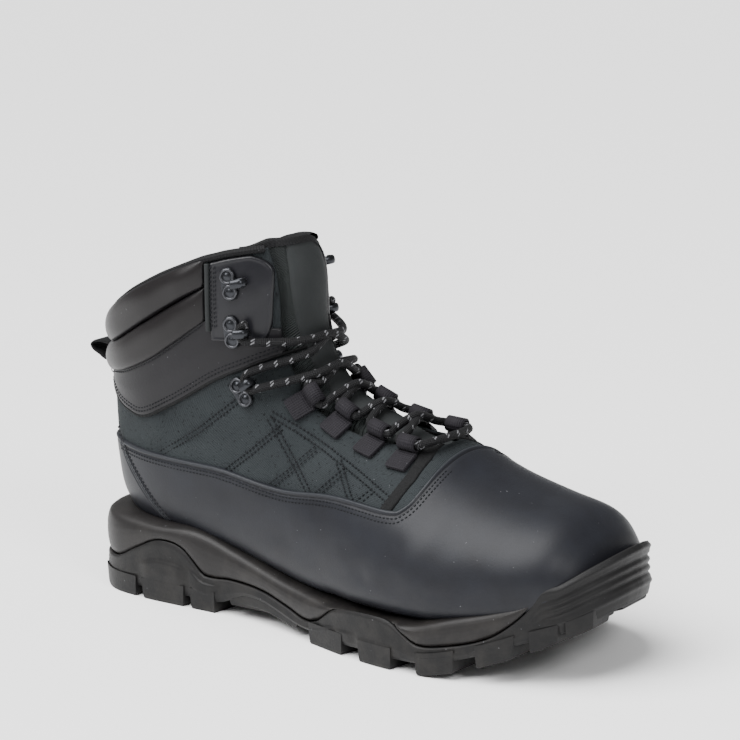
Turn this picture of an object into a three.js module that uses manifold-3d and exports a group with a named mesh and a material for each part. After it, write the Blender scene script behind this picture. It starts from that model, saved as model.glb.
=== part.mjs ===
import * as THREE from 'three';
import { mergeVertices } from 'three/addons/utils/BufferGeometryUtils.js';
import Module from 'manifold-3d';

const wasm = await Module();
wasm.setup();

// Main sizes of the right boot in millimetres: heel back at x = 0, toe along +x, outer side at -y
const bootLength = 311;
const ballWidth = 113;
const shaftRise = 158;
const heelSeat = 28;
const ballSeat = 20;
const soleSide = 40;
const toeSpring = 31;
const springShare = 0.45;
const archLift = 7;
const lugHeight = 5.5;

// Walls, thicknesses and clearances
const fit = 0.3;
const upperWall = 2;
const randThickness = 1.5;
const bandThickness = 1.4;
const bandTip = 4;
const flapThickness = 2.6;
const padSwell = 4;
const padEdge = 1.4;
const tongueThickness = 4;
const tongueCrown = 2.5;
const insoleThickness = 4;
const bindingDepth = 2.2;
const bindingWall = 1.1;
const lastingMargin = 13;
const rubberWall = 2.4;
const outsoleWeb = 4;

// Throat, lacing and hardware
const throatHalf = 18;
const throatCut = 34;
const tongueOverlap = 9;
const webbing = 1.2;
const loopSize = 12;
const loopBore = 5.4;
const laceWidth = 4.2;
const laceRest = 0.8;
const hookRise = 2;
const rivetWidth = 7;
const hookPlate = 1.2;
const hookWire = 2.2;
const hookReach = 9.9;
const pullLoopWidth = 12;
const pullLoopReach = 20.5;
const tongueStart = 5.4;
const facetSlack = 0.8;

// Fineness of the facets
const aroundCount = 20;
const stationStep = 1;
const outlineStep = 1;
const seamStep = 0.5;
const allTurns = Array.from({ length: aroundCount }, (_, i) => (2 * Math.PI * i) / aroundCount);

// Tables with named columns, each row a section or a fold
function tableOf(names, rows) {
  const keys = names.split(' ');
  return rows.map((row) => Object.fromEntries(keys.map((key, i) => [key, row[i]])));
}

// Sections of the upper from toe to collar: bottom and top point as a share of the boot's length and
// of the shaft's rise over the seat, half widths and ridge as a share of the ball width
const sections = tableOf('bx bz tx tz lat med mid wide low high', [
  [0.968, 0.030, 0.970, 0.073, 0.071, 0.130, 0.030, 0.50, 2.0, 2.0],
  [0.957, 0.010, 0.961, 0.160, 0.186, 0.235, 0.030, 0.50, 2.2, 2.0],
  [0.937, 0.004, 0.943, 0.220, 0.270, 0.315, 0.035, 0.40, 2.6, 2.1],
  [0.903, 0.002, 0.908, 0.282, 0.345, 0.385, 0.045, 0.36, 3.0, 2.1],
  [0.842, 0.006, 0.836, 0.334, 0.407, 0.437, 0.050, 0.32, 3.2, 2.1],
  [0.765, 0.008, 0.755, 0.399, 0.460, 0.473, 0.044, 0.30, 3.4, 2.0],
  [0.682, 0.000, 0.675, 0.481, 0.469, 0.469, 0.027, 0.28, 3.4, 1.9],
  [0.604, 0.000, 0.602, 0.501, 0.447, 0.442, 0.018, 0.28, 3.4, 1.9],
  [0.521, 0.000, 0.536, 0.538, 0.398, 0.403, 0.009, 0.28, 3.4, 1.9],
  [0.431, 0.004, 0.479, 0.598, 0.358, 0.363, 0.000, 0.30, 3.2, 1.9],
  [0.334, -0.006, 0.440, 0.684, 0.332, 0.336, 0.000, 0.33, 3.0, 2.0],
  [0.219, 0.000, 0.424, 0.772, 0.319, 0.323, 0.000, 0.36, 2.8, 2.1],
  [0.103, 0.013, 0.422, 0.843, 0.314, 0.314, 0.000, 0.40, 2.5, 2.2],
  [0.040, 0.089, 0.423, 0.896, 0.310, 0.310, 0.000, 0.42, 2.2, 2.3],
  [0.021, 0.215, 0.422, 0.938, 0.310, 0.310, 0.000, 0.43, 2.1, 2.3],
  [0.018, 0.367, 0.418, 0.975, 0.314, 0.314, 0.000, 0.43, 2.1, 2.3],
  [0.021, 0.519, 0.410, 1.012, 0.314, 0.314, 0.000, 0.43, 2.1, 2.3],
  [0.026, 0.646, 0.402, 1.048, 0.313, 0.313, 0.000, 0.43, 2.1, 2.3],
  [0.030, 0.772, 0.398, 1.085, 0.313, 0.313, 0.000, 0.43, 2.1, 2.3],
]);

// Outline of the sole: place along the boot, half widths of the outer and inner side
const outline = tableOf('x lat med', [
  [0.0000, 0.0000, 0.0000],
  [0.0065, 0.1280, 0.1250],
  [0.0270, 0.2400, 0.2320],
  [0.0730, 0.3250, 0.3120],
  [0.1450, 0.3500, 0.3370],
  [0.2412, 0.3450, 0.3390],
  [0.3376, 0.3416, 0.3496],
  [0.4341, 0.3761, 0.3717],
  [0.5144, 0.4204, 0.4115],
  [0.5949, 0.4708, 0.4602],
  [0.6753, 0.4973, 0.4956],
  [0.7556, 0.4903, 0.5062],
  [0.8296, 0.4407, 0.4867],
  [0.8939, 0.3761, 0.4407],
  [0.9400, 0.3053, 0.3650],
  [0.9700, 0.2257, 0.2760],
  [0.9896, 0.1283, 0.1860],
  [0.9984, 0.0354, 0.0960],
  [1.0000, -0.0425, 0.0425],
]);

// Heights over the tread of the rubber's wavy rim and of the midsole's top, as a share of the sole's side
const rimLine = tableOf('x height', [
  [-0.051, 0.47], [0.071, 0.46], [0.127, 0.65], [0.168, 0.79], [0.204, 0.80], [0.229, 0.73],
  [0.250, 0.58], [0.270, 0.45], [0.326, 0.46], [0.398, 0.43], [0.454, 0.33], [0.494, 0.25],
  [0.525, 0.30], [0.561, 0.50], [0.596, 0.57], [0.652, 0.60], [0.683, 0.58], [0.708, 0.46],
  [0.734, 0.35], [0.775, 0.32], [0.846, 0.31], [0.882, 0.40], [0.905, 0.52], [0.921, 0.68],
  [0.942, 0.66], [0.975, 0.70], [1.017, 0.74],
]);
const midsoleLine = tableOf('x height', [
  [-0.051, 1.03], [0.061, 1.00], [0.173, 0.985], [0.234, 1.00], [0.275, 0.95], [0.331, 0.82],
  [0.398, 0.69], [0.469, 0.585], [0.550, 0.53], [0.632, 0.525], [0.714, 0.57], [0.785, 0.63],
  [0.856, 0.60], [0.917, 0.57], [1.017, 0.50],
]);

// Steps up the side of the rubber and of the midsole: share of the height, rib, and distance out in
// rubber walls
const outsoleSteps = tableOf('height rib out', [
  [0.12, 0, -0.17], [0.36, 0, 0.00], [0.46, 1, -0.08], [0.58, 0, -0.08], [0.68, 1, -0.17],
  [0.80, 0, -0.17], [1.00, 0, -0.42],
]);
const midsoleSteps = tableOf('height out grow', [
  [0.01, -0.50, 1], [0.45, -0.20, 1], [0.85, -0.65, 1], [1.00, -1.17, 1],
]);

// Seams in side view: place along the boot and rise over the seat as a share of the shaft's rise
const randTop = tableOf('x rise', [
  [-0.128, 0.323], [0.048, 0.323], [0.183, 0.310], [0.363, 0.308], [0.537, 0.339],
  [0.656, 0.332], [0.682, 0.342], [0.694, 0.380], [0.698, 0.456], [0.698, 0.696],
]);
const counterSeam = tableOf('x rise', [
  [0.063, 0.360], [0.071, 0.320], [0.127, 0.190], [0.183, 0.065], [0.204, 0.020],
]);
const bandLow = tableOf('x rise', [
  [-0.128, 0.506], [0.025, 0.503], [0.048, 0.491], [0.077, 0.456], [0.109, 0.434],
  [0.151, 0.427], [0.219, 0.487], [0.293, 0.570], [0.348, 0.631], [0.379, 0.668],
  [0.412, 0.706], [0.482, 0.778],
]);
const padLow = tableOf('x rise', [
  [-0.128, 0.538], [0.042, 0.541], [0.077, 0.551], [0.112, 0.566], [0.183, 0.627],
  [0.267, 0.734], [0.306, 0.792],
]);
const padMid = tableOf('x rise', [
  [-0.128, 0.627], [0.025, 0.627], [0.081, 0.652], [0.161, 0.734], [0.225, 0.804],
  [0.289, 0.873], [0.312, 0.901],
]);
const collarLine = tableOf('x rise', [
  [-0.128, 0.710], [0.009, 0.710], [0.033, 0.722], [0.058, 0.747], [0.103, 0.798],
  [0.145, 0.842], [0.215, 0.906], [0.273, 0.950], [0.306, 0.970], [0.334, 0.989],
  [0.451, 1.060],
]);
const tongueLine = tableOf('x rise', [
  [0.204, 0.930], [0.275, 0.965], [0.326, 0.990], [0.367, 1.002], [0.418, 1.010], [0.479, 1.015],
]);
const flapEdge = tableOf('x rise', [
  [0.296, 0.700], [0.352, 0.712], [0.382, 0.735], [0.390, 0.780], [0.392, 0.850],
  [0.393, 0.930], [0.389, 0.965], [0.372, 0.985], [0.336, 0.990], [0.296, 0.975],
]);

// Lace loops, hooks at the ankle and hooks on the collar flap, as seen from the side
const loopSpots = tableOf('x rise', [[0.640, 0.446], [0.573, 0.470], [0.505, 0.515], [0.443, 0.562]]);
const ankleSpot = { x: 0.350, rise: 0.560 };
const hookSpots = tableOf('x rise', [[0.335, 0.744], [0.332, 0.892]]);
// Fold of the pull loop's tape and the hole inside it: reach behind the boot and height, as shares
const pullLoopFold = tableOf('reach up', [
  [0.00, 0.42], [0.30, 0.47], [0.80, 0.45], [1.00, 0.27], [0.95, 0.08], [0.55, -0.13], [0.20, -0.38], [0.00, -0.43],
]);
const pullLoopHole = tableOf('reach up', [
  [0.00, 0.30], [0.30, 0.35], [0.46, 0.13], [0.20, -0.22], [0.00, -0.30],
]);
const flapSeam = 0.2925;
const vampEdge = 0.698;

// Lugs on the two edges: back and front, inner end across the sole, lean of the inner end, depth
const edgeLugs = tableOf('side back front inner lean depth', [
  [-1, 0.029, 0.126, 0.45, 0.010, 1],
  [-1, 0.139, 0.230, 0.42, 0.012, 1],
  [-1, 0.243, 0.294, 0.42, 0.012, 1],
  [1, 0.029, 0.126, 0.45, 0.010, 1],
  [1, 0.139, 0.230, 0.42, 0.012, 1],
  [1, 0.243, 0.294, 0.42, 0.012, 1],
  [-1, 0.321, 0.479, 0.40, 0.000, 0.35],
  [1, 0.311, 0.479, 0.36, 0.000, 0.35],
  [-1, 0.510, 0.589, 0.55, 0.020, 1],
  [-1, 0.624, 0.690, 0.52, 0.018, 1],
  [-1, 0.734, 0.797, 0.50, 0.016, 1],
  [-1, 0.829, 0.885, 0.48, 0.012, 1],
  [-1, 0.905, 0.942, 0.45, 0.008, 1],
  [-1, 0.950, 0.979, 0.40, 0.000, 1],
  [1, 0.501, 0.571, 0.42, 0.012, 1],
  [1, 0.585, 0.661, 0.40, 0.012, 1],
  [1, 0.678, 0.752, 0.38, 0.010, 1],
  [1, 0.772, 0.842, 0.38, 0.006, 1],
  [1, 0.859, 0.950, 0.42, 0.000, 1],
]);
const slantBars = tableOf('back front inner outer', [
  [0.484, 0.559, 0.02, 0.30],
  [0.577, 0.649, 0.02, 0.30],
  [0.669, 0.736, 0.02, 0.30],
  [0.755, 0.838, 0.02, 0.28],
  [0.061, 0.275, 0.08, 0.24],
  [0.061, 0.275, -0.26, -0.10],
]);
const chevrons = tableOf('back front inner outer', [
  [0.510, 0.577, -0.06, -0.44],
  [0.591, 0.665, -0.05, -0.44],
  [0.677, 0.752, -0.04, -0.42],
  [0.764, 0.842, -0.02, -0.38],
]);
const studs = { rows: 3, columns: 3, x: 0.885, across: 0.04, pitch: 0.038, spread: 0.21, side: 7 };

// Smooth curve through the rows of a table, read at any value of its key column
function along(table, column, key, value) {
  const last = table.length - 1;
  let i = 0;
  while (i < last - 1 && value > keyOf(table, key, i + 1)) {
    i += 1;
  }
  const span = keyOf(table, key, i + 1) - keyOf(table, key, i);
  const t = THREE.MathUtils.clamp((value - keyOf(table, key, i)) / span, 0, 1);
  const startSlope = slopeAt(table, column, key, i) * span;
  const endSlope = slopeAt(table, column, key, i + 1) * span;
  const start = table[i][column];
  const end = table[i + 1][column];
  const t2 = t * t;
  const t3 = t2 * t;
  return (2 * t3 - 3 * t2 + 1) * start + (t3 - 2 * t2 + t) * startSlope
    + (3 * t2 - 2 * t3) * end + (t3 - t2) * endSlope;
}

function keyOf(table, key, i) {
  return key === 'row' ? i : table[i][key];
}

function slopeAt(table, column, key, i) {
  const before = Math.max(i - 1, 0);
  const after = Math.min(i + 1, table.length - 1);
  return (table[after][column] - table[before][column])
    / (keyOf(table, key, after) - keyOf(table, key, before));
}

// Lift of the tread under the toe, the upper's seat and the base of the tread, at x
function ground(x) {
  const start = 0.724 * bootLength;
  const run = Math.max(0, x - start) / (bootLength - start);
  return toeSpring * run ** 1.5;
}

function seat(x) {
  const step = THREE.MathUtils.smoothstep(x / bootLength, 0.289, 0.482);
  return heelSeat + (ballSeat - heelSeat) * step + springShare * ground(x);
}

function treadBase(x) {
  const share = x / bootLength;
  const rise = THREE.MathUtils.smoothstep(share, 0.290, 0.367);
  const fall = THREE.MathUtils.smoothstep(share, 0.377, 0.50);
  const tip = 0.5 * THREE.MathUtils.smoothstep(share, 0.88, 0.97);
  return ground(x) + lugHeight * (1 - tip) + archLift * (rise - fall);
}

function rim(x) {
  return ground(x) + soleSide * along(rimLine, 'height', 'x', x / bootLength);
}

function midsoleTop(x) {
  return ground(x) + soleSide * along(midsoleLine, 'height', 'x', x / bootLength);
}

// One point of the upper's outer face. A section lies in the plane through its bottom and top point
// and the y axis, and is two half superellipses that meet at its widest height
function sectionPoint(station, anyTurn) {
  const turn = THREE.MathUtils.euclideanModulo(anyTurn, 2 * Math.PI);
  const read = (column) => along(sections, column, 'row', station);
  const bottomX = read('bx') * bootLength;
  const topX = read('tx') * bootLength;
  const bottomZ = seat(bottomX) + read('bz') * shaftRise;
  const topZ = seat(topX) + read('tz') * shaftRise;
  const angle = turn > Math.PI ? 2 * Math.PI - turn : turn;
  const upper = angle > Math.PI / 2;
  const power = upper ? read('high') : read('low');
  const cos = Math.abs(Math.cos(angle));
  const sin = Math.abs(Math.sin(angle));
  const radius = (cos ** power + sin ** power) ** (-1 / power);
  const wide = read('wide');
  const height = upper ? wide + (1 - wide) * cos * radius : wide * (1 - cos * radius);
  const middle = read('mid') * ballWidth;
  const edge = turn > Math.PI ? read('med') * ballWidth : -read('lat') * ballWidth;
  return new THREE.Vector3(
    bottomX + (topX - bottomX) * height,
    middle + (edge - middle) * sin * radius,
    bottomZ + (topZ - bottomZ) * height,
  );
}

// Outward direction of the upper's face and the direction in which its stations advance
function faceFrame(station, turn) {
  const lastStation = sections.length - 1;
  const ahead = sectionPoint(Math.min(station + 0.02, lastStation), turn);
  const behind = sectionPoint(Math.max(station - 0.02, 0), turn);
  const advance = ahead.sub(behind).normalize();
  const around = sectionPoint(station, turn + 0.01).sub(sectionPoint(station, turn - 0.01)).normalize();
  const normal = new THREE.Vector3().crossVectors(around, advance).normalize();
  return { normal, advance };
}

function skin(station, turn, out) {
  return sectionPoint(station, turn).addScaledVector(faceFrame(station, turn).normal, out);
}

// Station and turn of the point of the upper's face that is seen at x, z from its side
function findSpot(x, z, side) {
  let low = 0;
  let high = sections.length - 1;
  for (let i = 0; i < 40; i += 1) {
    const station = (low + high) / 2;
    const bottom = sectionPoint(station, 0);
    const top = sectionPoint(station, Math.PI);
    const lean = (top.x - bottom.x) * (z - bottom.z) - (top.z - bottom.z) * (x - bottom.x);
    if (lean > 0) {
      low = station;
    } else {
      high = station;
    }
  }
  const station = (low + high) / 2;
  const bottom = sectionPoint(station, 0);
  const span = sectionPoint(station, Math.PI).sub(bottom);
  const height = ((x - bottom.x) * span.x + (z - bottom.z) * span.z) / (span.x ** 2 + span.z ** 2);
  const wide = along(sections, 'wide', 'row', station);
  const upper = height > wide;
  const power = along(sections, upper ? 'high' : 'low', 'row', station);
  const reach = Math.min(Math.abs(upper ? (height - wide) / (1 - wide) : (wide - height) / wide), 1);
  const width = (1 - reach ** power) ** (1 / power);
  const angle = upper ? Math.atan2(width, -reach) : Math.atan2(width, reach);
  return { station, turn: side > 0 ? 2 * Math.PI - angle : angle };
}

// Closed solids from rings of points, from geometries and from outlines
function solidOf(geometry) {
  const bare = geometry.index ? geometry.toNonIndexed() : geometry.clone();
  bare.deleteAttribute('normal');
  bare.deleteAttribute('uv');
  const merged = mergeVertices(bare, 1e-4);
  const solid = new wasm.Manifold(new wasm.Mesh({
    numProp: 3,
    vertProperties: new Float32Array(merged.attributes.position.array),
    triVerts: new Uint32Array(merged.index.array),
  }));
  return solid;
}

function solidFromFaces(points, faces) {
  const volume = faces.reduce((sum, [a, b, c]) => (
    sum + points[a].dot(new THREE.Vector3().crossVectors(points[b], points[c]))
  ), 0);
  const order = volume > 0 ? faces.flat() : faces.flatMap(([a, b, c]) => [a, c, b]);
  const geometry = new THREE.BufferGeometry().setFromPoints(points);
  geometry.setIndex(order);
  return solidOf(geometry);
}

function solidFromRings(rings, startCentre, endCentre) {
  const count = rings[0].length;
  const points = rings.flat();
  const faces = [];
  rings.slice(1).forEach((ring, k) => {
    ring.forEach((point, i) => {
      const next = (i + 1) % count;
      const near = k * count;
      const far = near + count;
      faces.push([near + i, near + next, far + next], [near + i, far + next, far + i]);
    });
  });
  const lastRing = (rings.length - 1) * count;
  const startIndex = points.length;
  points.push(startCentre, endCentre);
  for (let i = 0; i < count; i += 1) {
    const next = (i + 1) % count;
    faces.push([startIndex, next, i], [startIndex + 1, lastRing + i, lastRing + next]);
  }
  return solidFromFaces(points, faces);
}

function middleOf(ring) {
  return ring.reduce((sum, point) => sum.add(point), new THREE.Vector3()).divideScalar(ring.length);
}

function stepsBetween(start, end, step) {
  const count = Math.ceil((end - start) / step);
  return Array.from({ length: count + 1 }, (_, i) => start + ((end - start) * i) / count);
}

// The whole boot form, grown outwards by a distance
function form(out) {
  const rings = stepsBetween(0, sections.length - 1, stationStep).map((station) => (
    allTurns.map((turn) => skin(station, turn, out))
  ));
  const toe = middleOf(allTurns.map((turn) => sectionPoint(0, turn)));
  toe.x += out + 1;
  return solidFromRings(rings, toe, middleOf(rings.at(-1)));
}

function shell(outer, inner) {
  return form(outer).subtract(form(inner));
}

// Cutters that run through the boot from side to side, with the shape of a seam in side view
function seamPoints(line, lift) {
  return stepsBetween(0, line.length - 1, seamStep).map((row) => {
    const x = along(line, 'x', 'row', row) * bootLength;
    return [x, seat(x) + along(line, 'rise', 'row', row) * shaftRise + lift];
  });
}

function sideCutter(points, fromY, toY) {
  const shape = new THREE.Shape(points.map(([x, z]) => new THREE.Vector2(x, z)));
  const geometry = new THREE.ExtrudeGeometry(shape, { depth: toY - fromY, bevelEnabled: false });
  geometry.rotateX(Math.PI / 2);
  geometry.translate(0, toY, 0);
  return solidOf(geometry);
}

function throughCutter(points) {
  return sideCutter(points, -ballWidth, ballWidth);
}

function overSeam(line, lift) {
  const points = seamPoints(line, lift);
  return throughCutter([...points, [points.at(-1)[0], bootLength], [points[0][0], bootLength]]);
}

function aheadOf(x) {
  return throughCutter([[x, -soleSide], [2 * bootLength, -soleSide], [2 * bootLength, bootLength], [x, bootLength]]);
}

// The throat between the facings, widening from the vamp to the collar
function throatStart() {
  const x = (vampEdge - 0.02) * bootLength;
  return findSpot(x, seat(x) + 0.45 * shaftRise, 1).station;
}

function throatWidth(station) {
  const opened = THREE.MathUtils.clamp((station - throatStart()) / 1.5, 0, 1);
  return throatHalf * (0.35 + 0.65 * Math.sqrt(opened));
}

function throatCutter() {
  const rings = stepsBetween(throatStart(), sections.length - 1, 0.5).map((station) => {
    const top = sectionPoint(station, Math.PI);
    const inward = sectionPoint(station, 0).sub(top).normalize();
    const half = throatWidth(station);
    const corners = [[-half, -throatHalf], [half, -throatHalf], [half, throatCut], [-half, throatCut]];
    return corners.map(([across, depth]) => new THREE.Vector3(top.x, top.y + across, top.z)
      .addScaledVector(inward, depth));
  });
  return solidFromRings(rings, middleOf(rings[0]), middleOf(rings.at(-1)));
}

// Sole pieces: rings of the outline, each pushed out by a distance and set at a height
function outlinePoint(row, side) {
  const y = side < 0 ? -along(outline, 'lat', 'row', row) : along(outline, 'med', 'row', row);
  return new THREE.Vector2(along(outline, 'x', 'row', row) * bootLength, y * ballWidth);
}

function outlineNormal(row, side) {
  const last = outline.length - 1;
  if (row <= 0 || row >= last) {
    return new THREE.Vector2(row <= 0 ? -1 : 1, 0);
  }
  const run = outlinePoint(Math.min(row + 0.05, last), side).sub(outlinePoint(Math.max(row - 0.05, 0), side));
  return new THREE.Vector2(-side * run.y, side * run.x).normalize();
}

function rowAt(x) {
  let low = 0;
  let high = outline.length - 1;
  for (let i = 0; i < 40; i += 1) {
    const middle = (low + high) / 2;
    if (along(outline, 'x', 'row', middle) * bootLength < x) {
      low = middle;
    } else {
      high = middle;
    }
  }
  return (low + high) / 2;
}

function soleSolid(levels) {
  const rows = stepsBetween(0, outline.length - 1, outlineStep);
  const last = rows.length - 1;
  const stops = [...rows.map((row) => [row, -1]), ...rows.slice(1, last).reverse().map((row) => [row, 1])];
  const points = levels.flatMap((level) => stops.map(([row, side]) => {
    const spot = outlinePoint(row, side);
    const { out, z } = level(spot.x);
    const place = outlineNormal(row, side).multiplyScalar(out).add(spot);
    return new THREE.Vector3(place.x, place.y, z);
  }));
  const count = stops.length;
  const faces = [];
  levels.slice(1).forEach((level, k) => {
    stops.forEach((stop, i) => {
      const next = (i + 1) % count;
      const near = k * count;
      const far = near + count;
      faces.push([near + i, near + next, far + next], [near + i, far + next, far + i]);
    });
  });
  const top = (levels.length - 1) * count;
  for (let i = 0; i < last; i += 1) {
    const across = (count - i) % count;
    const acrossNext = count - i - 1;
    faces.push([i + 1, i, acrossNext], [top + i, top + i + 1, top + acrossNext]);
    if (i > 0) {
      faces.push([i, across, acrossNext], [top + across, top + i, top + acrossNext]);
    }
  }
  return solidFromFaces(points, faces.filter(([a, b, c]) => a !== b && b !== c && a !== c));
}

// How far the ribs of the toe bumper and the heel cup stand out of the side wall
function ribHeight(x) {
  const share = x / bootLength;
  const toe = THREE.MathUtils.smoothstep(share, 0.90, 0.95);
  const heel = 0.5 * (1 - THREE.MathUtils.smoothstep(share, 0.02, 0.06));
  return 1.1 * Math.max(toe, heel);
}

function outsoleBody() {
  const foot = (x) => ({ out: -rubberWall, z: treadBase(x) });
  const walls = outsoleSteps.map(({ height, rib, out }) => (x) => ({
    out: out * rubberWall - rib * ribHeight(x),
    z: treadBase(x) + height * (rim(x) - treadBase(x)),
  }));
  return soleSolid([foot, ...walls]);
}

function midsoleBody(gap) {
  const inset = rubberWall + fit - gap;
  const bulge = (x) => THREE.MathUtils.clamp((midsoleTop(x) - rim(x) - fit) / rubberWall, 0, 1);
  const overRim = (x) => Math.min(rim(x) + fit, midsoleTop(x) - fit) - gap;
  const walls = midsoleSteps.map(({ height, out, grow }) => (x) => ({
    out: -inset + (inset + out * rubberWall + gap) * bulge(x),
    z: overRim(x) + height * (midsoleTop(x) - overRim(x)) + grow * gap,
  }));
  return soleSolid([
    (x) => ({ out: -inset, z: treadBase(x) + outsoleWeb - gap }),
    (x) => ({ out: -inset, z: overRim(x) }),
    ...walls,
  ]);
}

// One tread block: an outline on the ground, drawn in towards its foot, up to a height over the base
function lugSolid(spots, depth, lift) {
  const centre = spots.reduce((sum, spot) => sum.add(spot), new THREE.Vector2()).divideScalar(spots.length);
  const foot = spots.map((spot) => spot.clone().lerp(centre, 0.07));
  const low = foot.map(({ x, y }) => (
    new THREE.Vector3(x, y, treadBase(x) - depth * (treadBase(x) - ground(x)))
  ));
  const top = spots.map(({ x, y }) => new THREE.Vector3(x, y, treadBase(x) + lift));
  const count = spots.length;
  const faces = [];
  spots.forEach((spot, i) => {
    const next = (i + 1) % count;
    faces.push([i, next, count + next], [i, count + next, count + i]);
  });
  const clockwise = THREE.ShapeUtils.isClockWise(spots);
  THREE.ShapeUtils.triangulateShape(spots, []).forEach(([a, b, c]) => {
    faces.push(clockwise ? [a, b, c] : [a, c, b]);
    faces.push(clockwise ? [count + a, count + c, count + b] : [count + a, count + b, count + c]);
  });
  return solidFromFaces([...low, ...top], clockwise ? faces.map(([a, b, c]) => [a, b, c]) : faces);
}

function treadSpot(share, across) {
  const row = rowAt(share * bootLength);
  const edge = outlinePoint(row, across < 0 ? -1 : 1);
  return new THREE.Vector2(share * bootLength, Math.abs(across) * edge.y);
}

function edgeLug({ side, back, front, inner, lean, depth }) {
  const outer = stepsBetween(back, front, 0.05).map((share) => {
    const row = rowAt(share * bootLength);
    return outlineNormal(row, side).multiplyScalar(depth < 1 ? -1 : 0.7).add(outlinePoint(row, side));
  });
  const spots = [...outer, treadSpot(front + lean, side * inner), treadSpot(back + lean, side * inner)];
  return lugSolid(spots, depth, depth < 1 ? 1 : lugHeight);
}

function slantBar({ back, front, inner, outer }) {
  const lean = 0.012;
  const spots = [
    treadSpot(back, inner - lean), treadSpot(front, inner + lean),
    treadSpot(front, outer + lean), treadSpot(back, outer - lean),
  ];
  return lugSolid(spots, 1, 1);
}

function chevron({ back, front, inner, outer }) {
  const middle = (back + front) / 2;
  const arm = 0.018;
  const spots = [
    treadSpot(back, outer), treadSpot(back + arm, outer), treadSpot(middle, inner - 0.14),
    treadSpot(front - arm, outer), treadSpot(front, outer), treadSpot(middle + arm, inner),
    treadSpot(middle - arm, inner),
  ];
  return lugSolid(spots, 1, 1);
}

function toeStuds() {
  const half = studs.side / 2;
  const solids = [];
  for (let row = 0; row < studs.rows; row += 1) {
    for (let column = 0; column < studs.columns; column += 1) {
      const across = studs.across + (column - 1) * studs.spread;
      const share = studs.x + (row - 1) * studs.pitch + (column - 1) * 0.006;
      const spot = treadSpot(share, across + 0.001);
      const corners = [[-half, -half], [half, -half], [half, half], [-half, half]];
      solids.push(lugSolid(corners.map(([dx, dy]) => new THREE.Vector2(spot.x + dx, spot.y + dy)), 1, 1));
    }
  }
  return solids;
}

function joined(solids) {
  return solids.reduce((sum, solid) => sum.add(solid));
}

function makeOutsole() {
  const tread = joined([
    ...edgeLugs.map(edgeLug), ...slantBars.map(slantBar), ...chevrons.map(chevron), ...toeStuds(),
  ]);
  return outsoleBody().add(tread).subtract(midsoleBody(fit)).subtract(form(randThickness + fit));
}

function makeMidsole() {
  return midsoleBody(0).subtract(form(randThickness + fit));
}

// The hole under the upper inside its lasting margin
function underOpening(margin) {
  return soleSolid([
    () => ({ out: -margin, z: -soleSide }),
    (x) => ({ out: -margin, z: seat(x) + upperWall + 1.2 }),
  ]);
}

function makeInsole() {
  const rows = stepsBetween(-0.05, 1.02, 0.05).map((share) => share * bootLength);
  const top = rows.map((x) => [x, seat(x) + upperWall + fit + insoleThickness]);
  const floor = throughCutter([...top, [top.at(-1)[0], -soleSide], [top[0][0], -soleSide]]);
  return form(-upperWall - fit).intersect(floor);
}

function makeUpper() {
  return shell(0, -upperWall)
    .subtract(overSeam(collarLine, 0))
    .subtract(throatCutter())
    .subtract(underOpening(lastingMargin));
}

function behindCounterSeam(lift) {
  const points = seamPoints(counterSeam, 0).map(([x, z]) => [x + lift, z]);
  return throughCutter([[-soleSide, bootLength], [points[0][0], bootLength], ...points,
    [points.at(-1)[0], -soleSide], [-soleSide, -soleSide]]);
}

function randRegion(lift) {
  const points = seamPoints(randTop, lift);
  return throughCutter([...points, [2 * bootLength, points.at(-1)[1]], [2 * bootLength, -soleSide],
    [points[0][0], -soleSide]]);
}

function makeRand() {
  return shell(randThickness, fit)
    .intersect(randRegion(0))
    .subtract(behindCounterSeam(fit))
    .subtract(throatCutter())
    .subtract(underOpening(lastingMargin));
}

function makeCounter() {
  return shell(randThickness, fit)
    .intersect(randRegion(0))
    .intersect(behindCounterSeam(0))
    .subtract(underOpening(lastingMargin));
}

function bandRegion() {
  const low = seamPoints(bandLow, 0);
  const high = seamPoints(padLow, -fit).filter(([x]) => x < flapSeam * bootLength);
  const flapLow = seamPoints(flapEdge, -fit).slice(0, 10).filter(([x]) => x > flapSeam * bootLength);
  const tip = low.at(-1);
  return throughCutter([...low, [tip[0], tip[1] + bandTip], ...flapLow.reverse(), ...high.reverse()]);
}

function makeBand() {
  return shell(bandThickness, fit)
    .intersect(bandRegion())
    .subtract(throatCutter());
}

function makeFlap(side) {
  const points = seamPoints(flapEdge, 0);
  const half = sideCutter(points, Math.min(0, side * ballWidth), Math.max(0, side * ballWidth));
  return shell(flapThickness, fit)
    .intersect(half)
    .subtract(overSeam(collarLine, -bindingDepth - 2 * fit))
    .subtract(throatCutter());
}

// A padded roll around the collar between two seams, swelling between its edges
function crossing(line, lift, turn) {
  let low = 11;
  let high = sections.length - 1;
  for (let i = 0; i < 30; i += 1) {
    const station = (low + high) / 2;
    const point = sectionPoint(station, turn);
    const x = THREE.MathUtils.clamp(point.x / bootLength, line[0].x, line.at(-1).x);
    if (point.z < seat(point.x) + along(line, 'rise', 'x', x) * shaftRise + lift) {
      low = station;
    } else {
      high = station;
    }
  }
  return (low + high) / 2;
}

function turnsAcrossBack(reach) {
  const inner = allTurns.map((turn) => (turn > Math.PI ? turn - 2 * Math.PI : turn))
    .filter((turn) => Math.abs(turn) < reach - 0.05)
    .sort((a, b) => a - b);
  return [-reach, ...inner, reach];
}

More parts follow.
